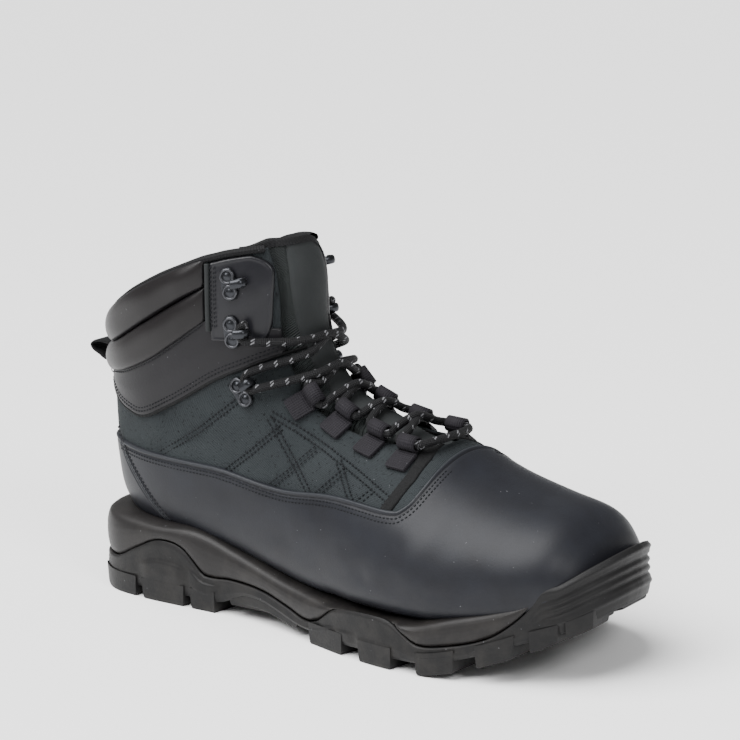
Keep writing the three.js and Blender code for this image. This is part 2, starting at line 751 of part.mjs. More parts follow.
function makePad(lowLine, lowLift, highLine, highLift) {
  const rows = [0, 0.15, 0.38, 0.62, 0.85, 1];
  const edge = (flapSeam - 0.004) * bootLength;
  const rings = turnsAcrossBack(0.68 * Math.PI).map((turn) => {
    const from = crossing(lowLine, lowLift - fit, turn);
    const to = crossing(highLine, highLift + fit, turn);
    const face = rows.map((row) => {
      const station = from + (to - from) * row;
      const x = sectionPoint(station, turn).x;
      const taper = THREE.MathUtils.clamp((edge - x) / 14, 0, 1) ** 0.5;
      const swell = (1 - (2 * row - 1) ** 2) ** 0.7;
      return skin(station, turn, padEdge + padSwell * swell * taper);
    });
    return [...face, skin(to, turn, fit), skin((from + to) / 2, turn, fit), skin(from, turn, fit)];
  });
  return solidFromRings(rings, middleOf(rings[0]), middleOf(rings.at(-1)))
    .subtract(aheadOf(edge))
    .intersect(overSeam(lowLine, lowLift))
    .subtract(overSeam(highLine, highLift));
}

// A folded tape over the collar's edge: it stands over the edge and reaches down both faces
function makeCollarBinding() {
  const end = turnAcross(sections.length - 2, -throatHalf - tongueOverlap - 2 * fit);
  const inside = -upperWall - fit;
  const rings = turnsAcrossBack(end).map((turn) => {
    const low = crossing(collarLine, -bindingDepth, turn);
    const edge = crossing(collarLine, fit, turn);
    const high = crossing(collarLine, fit + bindingWall, turn);
    return [
      skin(low, turn, bindingWall + fit), skin(edge, turn, bindingWall + fit), skin(high, turn, fit),
      skin(high, turn, inside), skin(edge, turn, inside - bindingWall), skin(low, turn, inside - bindingWall),
    ];
  });
  const edgeRoom = shell(fit, inside).subtract(overSeam(collarLine, fit));
  return solidFromRings(rings, middleOf(rings[0]), middleOf(rings.at(-1))).subtract(edgeRoom);
}

// The tongue lies under the facings and crowns between them
function tongueShell(outExtra, inExtra, widthShare) {
  const columns = [-1, -0.82, -0.6, -0.36, 0, 0.36, 0.6, 0.82, 1];
  const stations = [tongueStart, ...sections.keys()].filter((station) => station >= tongueStart);
  const under = -upperWall - fit - facetSlack;
  const rings = stations.map((station) => {
    const half = widthShare * (throatHalf + tongueOverlap * Math.min(1, (station - tongueStart) / 2));
    const open = THREE.MathUtils.clamp((station - throatStart() - 0.5) / 1.2, 0, 1);
    const faces = columns.map((share) => {
      const crown = Math.max(0, 1 - (share * half / (throatWidth(station) - 2)) ** 2) ** 0.5;
      return under + open * crown * (tongueCrown - under);
    });
    const turns = columns.map((share) => turnAcross(station, share * half));
    const outer = turns.map((turn, i) => skin(station, turn, faces[i] + outExtra));
    const inner = turns.map((turn, i) => skin(station, turn, faces[i] - tongueThickness - inExtra));
    return [...outer, ...inner.reverse()];
  });
  return solidFromRings(rings, middleOf(rings[0]), middleOf(rings.at(-1)));
}

function turnAcross(station, across) {
  const side = across < 0 ? -1 : 1;
  const middle = sectionPoint(station, Math.PI).y;
  let low = Math.PI / 2;
  let high = Math.PI;
  for (let i = 0; i < 30; i += 1) {
    const angle = (low + high) / 2;
    const turn = side > 0 ? 2 * Math.PI - angle : angle;
    if (Math.abs(sectionPoint(station, turn).y - middle) > Math.abs(across)) {
      low = angle;
    } else {
      high = angle;
    }
  }
  const angle = (low + high) / 2;
  return side > 0 ? 2 * Math.PI - angle : angle;
}

function makeTongue() {
  return tongueShell(0, 0, 1).subtract(overSeam(tongueLine, -bindingDepth));
}

function makeTongueBinding() {
  const strip = overSeam(tongueLine, -bindingDepth + fit).subtract(overSeam(tongueLine, 0));
  return tongueShell(0, 0, 1).intersect(strip);
}

// Small parts are drawn in their own frame, z off the boot's face and x up along the throat
function placed(solid, spot, out) {
  const { normal, advance } = faceFrame(spot.station, spot.turn);
  const across = new THREE.Vector3().crossVectors(normal, advance).normalize();
  const forward = new THREE.Vector3().crossVectors(across, normal).normalize();
  const place = skin(spot.station, spot.turn, out);
  const matrix = new THREE.Matrix4().makeBasis(forward, across, normal).setPosition(place);
  return solid.transform(matrix.toArray());
}

function spotOf({ x, rise }, side) {
  const place = x * bootLength;
  return findSpot(place, seat(place) + rise * shaftRise, side);
}

function boxSolid(length, width, height, x, y, z) {
  const geometry = new THREE.BoxGeometry(length, width, height);
  geometry.translate(x, y, z + height / 2);
  return solidOf(geometry);
}

function discSolid(radius, height, sides, x, y, z) {
  const geometry = new THREE.CylinderGeometry(radius * 0.8, radius, height, sides);
  geometry.rotateX(Math.PI / 2);
  geometry.translate(x, y, z + height / 2);
  return solidOf(geometry);
}

function tubeSolid(points, width, sides, steps) {
  const corners = Array.from({ length: sides }, (_, i) => new THREE.Vector2(
    (width / 2) * Math.cos((2 * Math.PI * i) / sides), (width / 2) * Math.sin((2 * Math.PI * i) / sides),
  ));
  const path = new THREE.CatmullRomCurve3(points, false, 'centripetal');
  path.getUtoTmapping = (share) => share;
  return solidOf(new THREE.ExtrudeGeometry(new THREE.Shape(corners), {
    steps, extrudePath: path, bevelEnabled: false,
  }));
}

// A webbing tab stitched to the facing, with a sleeve for the lace along its inner edge
const sleeveRadius = loopBore / 2 + webbing;
const sleeveAcross = loopSize / 2 + sleeveRadius - webbing;
const tabLift = fit + 0.2;

function makeLaceLoop(place, side) {
  const ring = new THREE.Shape().absarc(0, 0, sleeveRadius, 0, 2 * Math.PI);
  ring.holes.push(new THREE.Path().absarc(0, 0, loopBore / 2, 0, 2 * Math.PI));
  const depth = loopSize * 0.55;
  const geometry = new THREE.ExtrudeGeometry(ring, { depth, bevelEnabled: false, curveSegments: 4 });
  geometry.translate(0, 0, -depth / 2);
  geometry.rotateY(Math.PI / 2);
  geometry.translate(0, side * sleeveAcross, sleeveRadius);
  const tab = boxSolid(loopSize, loopSize, webbing, 0, 0, 0);
  return placed(solidOf(geometry).add(tab), spotOf(place, side), tabLift).subtract(form(fit));
}

// A riveted plate and an open hook whose closed bend faces the throat
const laceInHook = hookPlate / 2 + hookWire / 2 + fit + laceWidth / 2;
const hookLift = fit + 0.4;

function makeHook(place, side, under) {
  const plate = boxSolid(rivetWidth * 2.1, rivetWidth, hookPlate, 0, 0, 0);
  const rivets = [-1, 1].map((end) => (
    discSolid(rivetWidth * 0.42, 1.2, 7, end * rivetWidth * 0.56, 0, hookPlate / 2)
  ));
  const middle = hookPlate / 2;
  const top = laceInHook + laceWidth / 2 + fit + hookWire / 2;
  const bend = [[0.3, middle], [0.85, middle], [1, (middle + top) / 2], [0.85, top], [0.4, top]];
  const wire = bend.map(([across, up]) => new THREE.Vector3(0, side * across * hookReach, up));
  return placed(joined([plate, ...rivets, tubeSolid(wire, hookWire, 5, 4)]), spotOf(place, side), under + hookLift)
    .subtract(form(under + fit));
}

// A webbing strip folded into a loop behind the collar, as wide as its tape
function makePullLoop(back) {
  const middle = seat(0) + 0.565 * shaftRise;
  const strip = (rows, inset) => sideCutter(
    rows.map(({ reach, up }) => [back - inset - reach * (pullLoopReach - inset), middle + up * pullLoopWidth]),
    -pullLoopWidth / 2, pullLoopWidth / 2,
  );
  return strip(pullLoopFold, 0).subtract(strip(pullLoopHole, webbing));
}

// The lace: two strands that cross over the tongue, through the loops and round the hooks
function laceStop(place, side, wrap, lift) {
  const spot = spotOf(place, side);
  const { normal, advance } = faceFrame(spot.station, spot.turn);
  const across = new THREE.Vector3().crossVectors(normal, advance).normalize();
  const forward = new THREE.Vector3().crossVectors(across, normal).normalize();
  const centre = skin(spot.station, spot.turn, lift);
  const points = wrap.map(([ahead, toThroat]) => (
    centre.clone().addScaledVector(forward, ahead).addScaledVector(across, side * toThroat)
  ));
  return { station: throatStation(centre), points, rise: 0 };
}

// Station whose top point is nearest to a place in side view
function throatStation(place) {
  const away = (station) => {
    const top = sectionPoint(station, Math.PI);
    return Math.hypot(top.x - place.x, top.z - place.z);
  };
  return stepsBetween(tongueStart, sections.length - 1, 0.1)
    .reduce((best, station) => (away(station) < away(best) ? station : best));
}

function laceStops(side) {
  const through = [-0.5, 0.5].map((share) => [share * loopSize, sleeveAcross]);
  const turn = hookWire / 2 + laceWidth / 2 + fit + laceRest;
  const round = [-0.5, -0.25, 0, 0.25, 0.5].map((share) => (
    [turn * Math.sin(share * Math.PI), hookReach - turn * Math.cos(share * Math.PI)]
  ));
  return [
    ...loopSpots.map((place) => laceStop(place, side, through, tabLift + sleeveRadius)),
    { ...laceStop(ankleSpot, side, round, hookLift + laceInHook), rise: hookRise },
    { ...laceStop(hookSpots[0], side, round, flapThickness + hookLift + laceInHook), rise: hookRise },
  ];
}

// A point of the lace over the tongue, at a distance from the throat's middle
function overTongue(station, across, lift) {
  const crown = across === 0 ? tongueCrown : tongueCrown * 0.6;
  return skin(station, turnAcross(station, across), crown + fit + laceWidth / 2 + laceRest + lift);
}

function makeLace() {
  const reach = 0.65 * throatHalf;
  const sides = [laceStops(-1), laceStops(1)];
  const strands = [0, 1].map((first) => {
    const points = sides[first].flatMap((unused, level) => {
      const fromSide = (first + level) % 2;
      const from = sides[fromSide][level];
      const to = sides[1 - fromSide][level + 1];
      if (!to) {
        return from.points;
      }
      const lift = (first + level) % 2 ? 0.4 * laceWidth : 0;
      const sign = fromSide ? 1 : -1;
      const over = [[0.34, sign * reach, from.rise], [0.5, 0, lift], [0.66, -sign * reach, to.rise]];
      return [...from.points, ...over.map(([share, across, up]) => (
        overTongue(THREE.MathUtils.lerp(from.station, to.station, share), across, up)
      ))];
    });
    return tubeSolid(points, laceWidth, 6, points.length - 1);
  });
  const low = sides[0][0].station - 0.35;
  const bar = [sides[0][0].points[0], overTongue(low, -reach, 0), overTongue(low, reach, 0), sides[1][0].points[0]];
  return joined(strands).add(tubeSolid(bar, laceWidth, 6, 6));
}

// Materials by finish
const finishes = {
  rubber: { color: 0x1b1b1c, roughness: 0.62 },
  foam: { color: 0x35312e, roughness: 0.7 },
  nubuck: { color: 0x2a2c33, roughness: 0.55 },
  textile: { color: 0x2f3437, roughness: 0.85 },
  band: { color: 0x18181b, roughness: 0.5 },
  pad: { color: 0x151213, roughness: 0.45 },
  tape: { color: 0x0c0c0d, roughness: 0.8 },
  metal: { color: 0x26272b, roughness: 0.35, metalness: 0.85 },
  cord: { color: 0x141415, roughness: 0.75 },
  lining: { color: 0x1d1d1f, roughness: 0.9 },
};
const materials = Object.fromEntries(Object.entries(finishes).map(([name, finish]) => (
  [name, new THREE.MeshStandardMaterial({ metalness: 0, ...finish })]
)));

const boot = new THREE.Group();

function add(name, solid, finish) {
  const { vertProperties, triVerts } = solid.getMesh();
  const geometry = new THREE.BufferGeometry();
  geometry.setAttribute('position', new THREE.BufferAttribute(new Float32Array(vertProperties), 3));
  geometry.setIndex(new THREE.BufferAttribute(new Uint32Array(triVerts), 1));
  const mesh = new THREE.Mesh(geometry, materials[finish]);
  mesh.name = name;
  boot.add(mesh);
}

add('outsole', makeOutsole(), 'rubber');
add('midsole', makeMidsole(), 'foam');
add('insole', makeInsole(), 'lining');
add('upper', makeUpper(), 'textile');
add('rand', makeRand(), 'nubuck');
add('heel_counter', makeCounter(), 'nubuck');
add('ankle_band', makeBand(), 'band');
const lowerPad = makePad(padLow, 0, padMid, -fit);
add('collar_pad_lower', lowerPad, 'pad');
add('collar_pad_upper', makePad(padMid, 0, collarLine, -bindingDepth - 2 * fit), 'pad');
add('pull_loop', makePullLoop(lowerPad.boundingBox().min[0] - fit), 'tape');
add('collar_binding', makeCollarBinding(), 'tape');
add('tongue', makeTongue(), 'lining');
add('tongue_binding', makeTongueBinding(), 'tape');
[[-1, 'lateral'], [1, 'medial']].forEach(([side, word]) => {
  add(`flap_${word}`, makeFlap(side), 'band');
  loopSpots.forEach((place, i) => add(`lace_loop_${word}_${i + 1}`, makeLaceLoop(place, side), 'tape'));
  add(`ankle_hook_${word}`, makeHook(ankleSpot, side, 0), 'metal');
  hookSpots.forEach((place, i) => add(`hook_${word}_${i + 1}`, makeHook(place, side, flapThickness), 'metal'));
});
add('lace', makeLace(), 'cord');

const box = new THREE.Box3().setFromObject(boot);
boot.position.set(-(box.min.x + box.max.x) / 2, -(box.min.y + box.max.y) / 2, -box.min.z);

export default boot;
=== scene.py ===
import math

import bpy
import numpy as np
from mathutils import Matrix, Vector


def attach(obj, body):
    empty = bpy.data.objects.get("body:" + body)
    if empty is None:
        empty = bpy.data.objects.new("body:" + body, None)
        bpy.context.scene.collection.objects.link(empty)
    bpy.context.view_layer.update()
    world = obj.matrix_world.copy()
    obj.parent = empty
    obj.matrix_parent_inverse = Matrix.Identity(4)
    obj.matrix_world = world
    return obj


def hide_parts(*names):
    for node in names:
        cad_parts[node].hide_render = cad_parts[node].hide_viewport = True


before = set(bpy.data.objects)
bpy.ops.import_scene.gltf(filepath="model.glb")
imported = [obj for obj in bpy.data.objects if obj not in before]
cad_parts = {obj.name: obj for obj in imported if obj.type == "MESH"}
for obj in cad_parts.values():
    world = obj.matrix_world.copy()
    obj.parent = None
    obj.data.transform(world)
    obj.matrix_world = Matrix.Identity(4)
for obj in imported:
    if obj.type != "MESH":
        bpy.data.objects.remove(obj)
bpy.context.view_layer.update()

# Main sizes in millimetres, in the heel's frame: x = 0 at the heel's back, z = 0 on the floor, outer side at -y
BOOT_LENGTH, BALL_WIDTH, SHAFT_RISE = 311.0, 113.0, 158.0
HEEL_SEAT, BALL_SEAT, SOLE_SIDE, TOE_SPRING, SPRING_SHARE = 28.0, 20.0, 40.0, 31.0, 0.45
ARCH_LIFT, LUG_HEIGHT, RUBBER_WALL = 7.0, 5.5, 2.4
FIT, UPPER_WALL, RAND, BAND, FLAP, PAD_EDGE, PAD_SWELL = 0.3, 2.0, 1.5, 1.4, 2.6, 1.4, 4.0
TONGUE_THICKNESS, TONGUE_CROWN, TONGUE_OVERLAP, TONGUE_START, SLACK = 4.0, 2.5, 9.0, 5.4, 0.8
THROAT_HALF, LACE_WIDTH, LACE_REST, HOOK_RISE, WEBBING = 18.0, 4.2, 0.8, 2.0, 1.2
LOOP_SIZE, LOOP_BORE, RIVET, HOOK_PLATE, HOOK_WIRE, HOOK_REACH = 12.0, 5.4, 7.0, 1.2, 2.2, 9.9
VAMP_EDGE, FLAP_SEAM = 0.698, 0.2925
SHIFT = np.array([-146.0592, -0.4366, 0.0])

# Sections of the upper from toe to collar: bottom and top point, half widths, ridge and roundness, as shares
SECTIONS = np.array([
    [0.968, 0.030, 0.970, 0.073, 0.071, 0.130, 0.030, 0.50, 2.0, 2.0],
    [0.957, 0.010, 0.961, 0.160, 0.186, 0.235, 0.030, 0.50, 2.2, 2.0],
    [0.937, 0.004, 0.943, 0.220, 0.270, 0.315, 0.035, 0.40, 2.6, 2.1],
    [0.903, 0.002, 0.908, 0.282, 0.345, 0.385, 0.045, 0.36, 3.0, 2.1],
    [0.842, 0.006, 0.836, 0.334, 0.407, 0.437, 0.050, 0.32, 3.2, 2.1],
    [0.765, 0.008, 0.755, 0.399, 0.460, 0.473, 0.044, 0.30, 3.4, 2.0],
    [0.682, 0.000, 0.675, 0.481, 0.469, 0.469, 0.027, 0.28, 3.4, 1.9],
    [0.604, 0.000, 0.602, 0.501, 0.447, 0.442, 0.018, 0.28, 3.4, 1.9],
    [0.521, 0.000, 0.536, 0.538, 0.398, 0.403, 0.009, 0.28, 3.4, 1.9],
    [0.431, 0.004, 0.479, 0.598, 0.358, 0.363, 0.000, 0.30, 3.2, 1.9],
    [0.334, -0.006, 0.440, 0.684, 0.332, 0.336, 0.000, 0.33, 3.0, 2.0],
    [0.219, 0.000, 0.424, 0.772, 0.319, 0.323, 0.000, 0.36, 2.8, 2.1],
    [0.103, 0.013, 0.422, 0.843, 0.314, 0.314, 0.000, 0.40, 2.5, 2.2],
    [0.040, 0.089, 0.423, 0.896, 0.310, 0.310, 0.000, 0.42, 2.2, 2.3],
    [0.021, 0.215, 0.422, 0.938, 0.310, 0.310, 0.000, 0.43, 2.1, 2.3],
    [0.018, 0.367, 0.418, 0.975, 0.314, 0.314, 0.000, 0.43, 2.1, 2.3],
    [0.021, 0.519, 0.410, 1.012, 0.314, 0.314, 0.000, 0.43, 2.1, 2.3],
    [0.026, 0.646, 0.402, 1.048, 0.313, 0.313, 0.000, 0.43, 2.1, 2.3],
    [0.030, 0.772, 0.398, 1.085, 0.313, 0.313, 0.000, 0.43, 2.1, 2.3],
])
LAST = len(SECTIONS) - 1.0
BX, BZ, TX, TZ, LAT, MED, MID, WIDE, LOW, HIGH = range(10)

# Outline of the sole: place along the boot, half widths of the outer and inner side
OUTLINE = np.array([
    [0.0000, 0.0000, 0.0000], [0.0065, 0.1280, 0.1250], [0.0270, 0.2400, 0.2320], [0.0730, 0.3250, 0.3120],
    [0.1450, 0.3500, 0.3370], [0.2412, 0.3450, 0.3390], [0.3376, 0.3416, 0.3496], [0.4341, 0.3761, 0.3717],
    [0.5144, 0.4204, 0.4115], [0.5949, 0.4708, 0.4602], [0.6753, 0.4973, 0.4956], [0.7556, 0.4903, 0.5062],
    [0.8296, 0.4407, 0.4867], [0.8939, 0.3761, 0.4407], [0.9400, 0.3053, 0.3650], [0.9700, 0.2257, 0.2760],
    [0.9896, 0.1283, 0.1860], [0.9984, 0.0354, 0.0960], [1.0000, -0.0425, 0.0425],
])

# Heights of the rubber's rim and the midsole's top over the tread, and seams in side view
RIM_LINE = np.array([
    [-0.051, 0.47], [0.071, 0.46], [0.127, 0.65], [0.168, 0.79], [0.204, 0.80], [0.229, 0.73],
    [0.250, 0.58], [0.270, 0.45], [0.326, 0.46], [0.398, 0.43], [0.454, 0.33], [0.494, 0.25],
    [0.525, 0.30], [0.561, 0.50], [0.596, 0.57], [0.652, 0.60], [0.683, 0.58], [0.708, 0.46],
    [0.734, 0.35], [0.775, 0.32], [0.846, 0.31], [0.882, 0.40], [0.905, 0.52], [0.921, 0.68],
    [0.942, 0.66], [0.975, 0.70], [1.017, 0.74],
])
MIDSOLE_LINE = np.array([
    [-0.051, 1.03], [0.061, 1.00], [0.173, 0.985], [0.234, 1.00], [0.275, 0.95], [0.331, 0.82],
    [0.398, 0.69], [0.469, 0.585], [0.550, 0.53], [0.632, 0.525], [0.714, 0.57], [0.785, 0.63],
    [0.856, 0.60], [0.917, 0.57], [1.017, 0.50],
])
RAND_TOP = np.array([
    [-0.128, 0.323], [0.048, 0.323], [0.183, 0.310], [0.363, 0.308], [0.537, 0.339],
    [0.656, 0.332], [0.682, 0.342], [0.694, 0.380], [0.698, 0.456], [0.698, 0.696],
])
COUNTER_SEAM = np.array([[0.063, 0.360], [0.071, 0.320], [0.127, 0.190], [0.183, 0.065], [0.204, 0.020]])
BAND_LOW = np.array([
    [-0.128, 0.506], [0.025, 0.503], [0.048, 0.491], [0.077, 0.456], [0.109, 0.434], [0.151, 0.427],
    [0.219, 0.487], [0.293, 0.570], [0.348, 0.631], [0.379, 0.668], [0.412, 0.706], [0.482, 0.778],
])
PAD_LOW = np.array([
    [-0.128, 0.538], [0.042, 0.541], [0.077, 0.551], [0.112, 0.566], [0.183, 0.627], [0.267, 0.734],
    [0.306, 0.792],
])
PAD_MID = np.array([
    [-0.128, 0.627], [0.025, 0.627], [0.081, 0.652], [0.161, 0.734], [0.225, 0.804], [0.289, 0.873],
    [0.312, 0.901],
])
COLLAR_LINE = np.array([
    [-0.128, 0.710], [0.009, 0.710], [0.033, 0.722], [0.058, 0.747], [0.103, 0.798], [0.145, 0.842],
    [0.215, 0.906], [0.273, 0.950], [0.306, 0.970], [0.334, 0.989], [0.451, 1.060],
])
TONGUE_LINE = np.array([
    [0.204, 0.955], [0.250, 1.000], [0.290, 1.012], [0.335, 1.023], [0.370, 1.038], [0.402, 1.053], [0.479, 1.060],
])
FLAP_EDGE = np.array([
    [0.296, 0.700], [0.352, 0.712], [0.382, 0.735], [0.390, 0.780], [0.392, 0.850],
    [0.393, 0.930], [0.389, 0.965], [0.372, 0.985], [0.336, 0.990], [0.296, 0.975],
])
LOOP_SPOTS = [(0.640, 0.446), (0.573, 0.470), (0.505, 0.515), (0.443, 0.562)]
ANKLE_SPOT = (0.350, 0.560)
HOOK_SPOTS = [(0.335, 0.744), (0.332, 0.892)]
PULL_LOOP = np.array([
    [-0.10, 0.36], [0.30, 0.41], [0.66, 0.37], [0.86, 0.20], [0.76, 0.02], [0.42, -0.17], [0.16, -0.33],
    [-0.10, -0.37],
])

# Tread: lugs on the two edges, then bars, chevrons and studs in the middle
EDGE_LUGS = [
    (-1, 0.029, 0.126, 0.45, 0.010, 1), (-1, 0.139, 0.230, 0.42, 0.012, 1), (-1, 0.243, 0.294, 0.42, 0.012, 1),
    (1, 0.029, 0.126, 0.45, 0.010, 1), (1, 0.139, 0.230, 0.42, 0.012, 1), (1, 0.243, 0.294, 0.42, 0.012, 1),
    (-1, 0.321, 0.479, 0.40, 0.000, 0.35), (1, 0.311, 0.479, 0.36, 0.000, 0.35),
    (-1, 0.510, 0.589, 0.55, 0.020, 1), (-1, 0.624, 0.690, 0.52, 0.018, 1), (-1, 0.734, 0.797, 0.50, 0.016, 1),
    (-1, 0.829, 0.885, 0.48, 0.012, 1), (-1, 0.905, 0.942, 0.45, 0.008, 1), (-1, 0.950, 0.979, 0.40, 0.000, 1),
    (1, 0.501, 0.571, 0.42, 0.012, 1), (1, 0.585, 0.661, 0.40, 0.012, 1), (1, 0.678, 0.752, 0.38, 0.010, 1),
    (1, 0.772, 0.842, 0.38, 0.006, 1), (1, 0.859, 0.950, 0.42, 0.000, 1),
]
SLANT_BARS = [
    (0.484, 0.559, 0.02, 0.30), (0.577, 0.649, 0.02, 0.30), (0.669, 0.736, 0.02, 0.30), (0.755, 0.838, 0.02, 0.28),
    (0.061, 0.275, 0.08, 0.24), (0.061, 0.275, -0.26, -0.10),
]
CHEVRONS = [
    (0.510, 0.577, -0.06, -0.44), (0.591, 0.665, -0.05, -0.44), (0.677, 0.752, -0.04, -0.42),
    (0.764, 0.842, -0.02, -0.38),
]

# Blocks that rise up the rubber's side: back, front, top as a share of the side, distance out
SIDE_BLOCKS = [
    (0.139, 0.224, 0.62, 0.9), (0.245, 0.294, 0.74, 0.8), (0.510, 0.562, 0.50, 0.8), (0.575, 0.606, 0.42, 0.6),
    (0.624, 0.690, 0.34, 0.7), (0.734, 0.797, 0.62, 0.7), (0.829, 0.885, 0.46, 0.7),
]

# Soft troughs and ridges of the upper in side view: both ends, width and depth in millimetres
CREASES = [
    (214, 58, 196, 42, 5.0, -0.7), (196, 42, 165, 22, 4.0, -0.6), (232, 66, 222, 48, 6.0, 0.5),
    (205, 60, 186, 52, 5.0, -0.5), (150, 92, 128, 74, 7.0, -0.7), (120, 98, 96, 84, 6.0, -0.6),
    (174, 80, 160, 70, 6.0, -0.6), (60, 100, 84, 88, 6.0, -0.7), (52, 92, 66, 76, 6.0, 0.5),
    (140, 50, 110, 44, 8.0, -0.5), (92, 60, 70, 50, 8.0, 0.5), (240, 52, 258, 46, 8.0, -0.4),
]

# Double rows of quilting stitches in side view: the corners of each row, as x and z in millimetres
QUILTING = [
    [(207, 75), (186, 82), (165, 89), (145, 97), (124, 106)],
    [(106, 110), (82, 92), (56, 77)], [(132, 100), (116, 86), (97, 72)], [(152, 92), (139, 79), (122, 66)],
    [(172, 85), (160, 73), (147, 63)], [(192, 79), (183, 70), (172, 62)],
    [(124, 104), (140, 86), (160, 66)], [(166, 88), (178, 76), (192, 64)],
]


def along(keys, values, at):
    """Cubic through the rows of a table, with slopes taken from the neighbouring rows."""
    count = len(keys)
    row = np.arange(count)
    before, after = np.maximum(row - 1, 0), np.minimum(row + 1, count - 1)
    slope = (values[after] - values[before]) / (keys[after] - keys[before])
    i = np.clip(np.searchsorted(keys, at, side="left") - 1, 0, count - 2)
    span = keys[i + 1] - keys[i]
    t = np.clip((at - keys[i]) / span, 0, 1)
    return ((2 * t**3 - 3 * t**2 + 1) * values[i] + (t**3 - 2 * t**2 + t) * slope[i] * span
            + (3 * t**2 - 2 * t**3) * values[i + 1] + (t**3 - t**2) * slope[i + 1] * span)


def smooth(value, low, high):
    """Nought below low, one above high and an S-shaped rise between them."""
    t = np.clip((value - low) / (high - low), 0, 1)
    return t * t * (3 - 2 * t)


def ground(x):
    """Height of the ground side of the sole: nought up to the toe spring, then a power of one and a half."""
    start = 0.724 * BOOT_LENGTH
    return TOE_SPRING * (np.maximum(0, x - start) / (BOOT_LENGTH - start)) ** 1.5


def seat(x):
    """Height of the foot's bed: an S-shaped fall from heel to ball, plus a share of the toe spring."""
    return HEEL_SEAT + (BALL_SEAT - HEEL_SEAT) * smooth(x / BOOT_LENGTH, 0.289, 0.482) + SPRING_SHARE * ground(x)


def tread_base(x):
    """Height of the lugs' root: the ground, plus a lug that thins at the toe, plus the arch's rise."""
    share = x / BOOT_LENGTH
    arch = smooth(share, 0.290, 0.367) - smooth(share, 0.377, 0.50)
    return ground(x) + LUG_HEIGHT * (1 - 0.5 * smooth(share, 0.88, 0.97)) + ARCH_LIFT * arch


def rim(x):
    """Height of the rubber's wavy rim: the ground, plus its line as a share of the sole's side."""
    return ground(x) + SOLE_SIDE * along(RIM_LINE[:, 0], RIM_LINE[:, 1], x / BOOT_LENGTH)


def midsole_top(x):
    """Height of the midsole's upper edge: the ground, plus its line as a share of the sole's side."""
    return ground(x) + SOLE_SIDE * along(MIDSOLE_LINE[:, 0], MIDSOLE_LINE[:, 1], x / BOOT_LENGTH)


def section_point(station, turn):
    """Point of the upper's face: two half superellipses in the plane of the station, met at the widest height.
    Beyond the last station the face runs on in a straight line."""
    beyond = np.maximum(0, station - LAST)
    if np.any(beyond > 0):
        top, below = section_point(0 * station + LAST, turn), section_point(0 * station + LAST - 1, turn)
        return section_point(np.minimum(station, LAST), turn) + (top - below) * beyond[..., None]
    rows = np.arange(LAST + 1)

    def read(column):
        return along(rows, SECTIONS[:, column], station)

    turn = np.mod(turn, 2 * np.pi)
    bottom_x, top_x = read(BX) * BOOT_LENGTH, read(TX) * BOOT_LENGTH
    bottom_z, top_z = seat(bottom_x) + read(BZ) * SHAFT_RISE, seat(top_x) + read(TZ) * SHAFT_RISE
    angle = np.where(turn > np.pi, 2 * np.pi - turn, turn)
    upper = angle > np.pi / 2
    power = np.where(upper, read(HIGH), read(LOW))
    cos, sin = np.abs(np.cos(angle)), np.abs(np.sin(angle))
    radius = (cos**power + sin**power) ** (-1 / power)
    wide = read(WIDE)
    height = np.where(upper, wide + (1 - wide) * cos * radius, wide * (1 - cos * radius))
    middle = read(MID) * BALL_WIDTH
    edge = np.where(turn > np.pi, read(MED), -read(LAT)) * BALL_WIDTH
    return np.stack([bottom_x + (top_x - bottom_x) * height, middle + (edge - middle) * sin * radius,
                     bottom_z + (top_z - bottom_z) * height], axis=-1)


def unit(vectors):
    """Vectors brought to length one."""
    return vectors / np.maximum(np.linalg.norm(vectors, axis=-1, keepdims=True), 1e-9)


def face_frame(station, turn):
    """Outward normal and direction to the collar: cross product of small steps in turn and in station."""
    station = np.minimum(station, LAST)
    advance = unit(section_point(np.minimum(station + 0.02, LAST), turn)
                   - section_point(np.maximum(station - 0.02, 0), turn))
    around = unit(section_point(station, turn + 0.01) - section_point(station, turn - 0.01))
    return unit(np.cross(around, advance)), advance


def skin(station, turn, out):
    """Point of the upper's face moved along its outward normal by a distance."""
    return section_point(station, turn) + face_frame(station, turn)[0] * np.asarray(out)[..., None]


def find_spot(x, z, side):
    """Station and turn of the face seen at x, z from one side, by halving the range of stations."""
    x, z = np.asarray(x, float), np.asarray(z, float)
    low, high = np.zeros_like(x), np.full_like(x, LAST)
    for _ in range(40):
        station = (low + high) / 2
        bottom, top = section_point(station, 0.0 * x), section_point(station, 0.0 * x + np.pi)
        lean = (top[..., 0] - bottom[..., 0]) * (z - bottom[..., 2]) - (top[..., 2] - bottom[..., 2]) * (
            x - bottom[..., 0])
        low, high = np.where(lean > 0, station, low), np.where(lean > 0, high, station)
    station = (low + high) / 2
    bottom = section_point(station, 0.0 * x)
    span = section_point(station, 0.0 * x + np.pi) - bottom
    height = ((x - bottom[..., 0]) * span[..., 0] + (z - bottom[..., 2]) * span[..., 2]) / (
        span[..., 0] ** 2 + span[..., 2] ** 2)
    rows = np.arange(LAST + 1)
    wide = along(rows, SECTIONS[:, WIDE], station)
    upper = height > wide
    power = np.where(upper, along(rows, SECTIONS[:, HIGH], station), along(rows, SECTIONS[:, LOW], station))
    reach = np.clip(np.abs(np.where(upper, (height - wide) / (1 - wide), (wide - height) / wide)), 0, 1)
    width = (1 - reach**power) ** (1 / power)
    angle = np.where(upper, np.arctan2(width, -reach), np.arctan2(width, reach))
    return station, np.where(side > 0, 2 * np.pi - angle, angle)


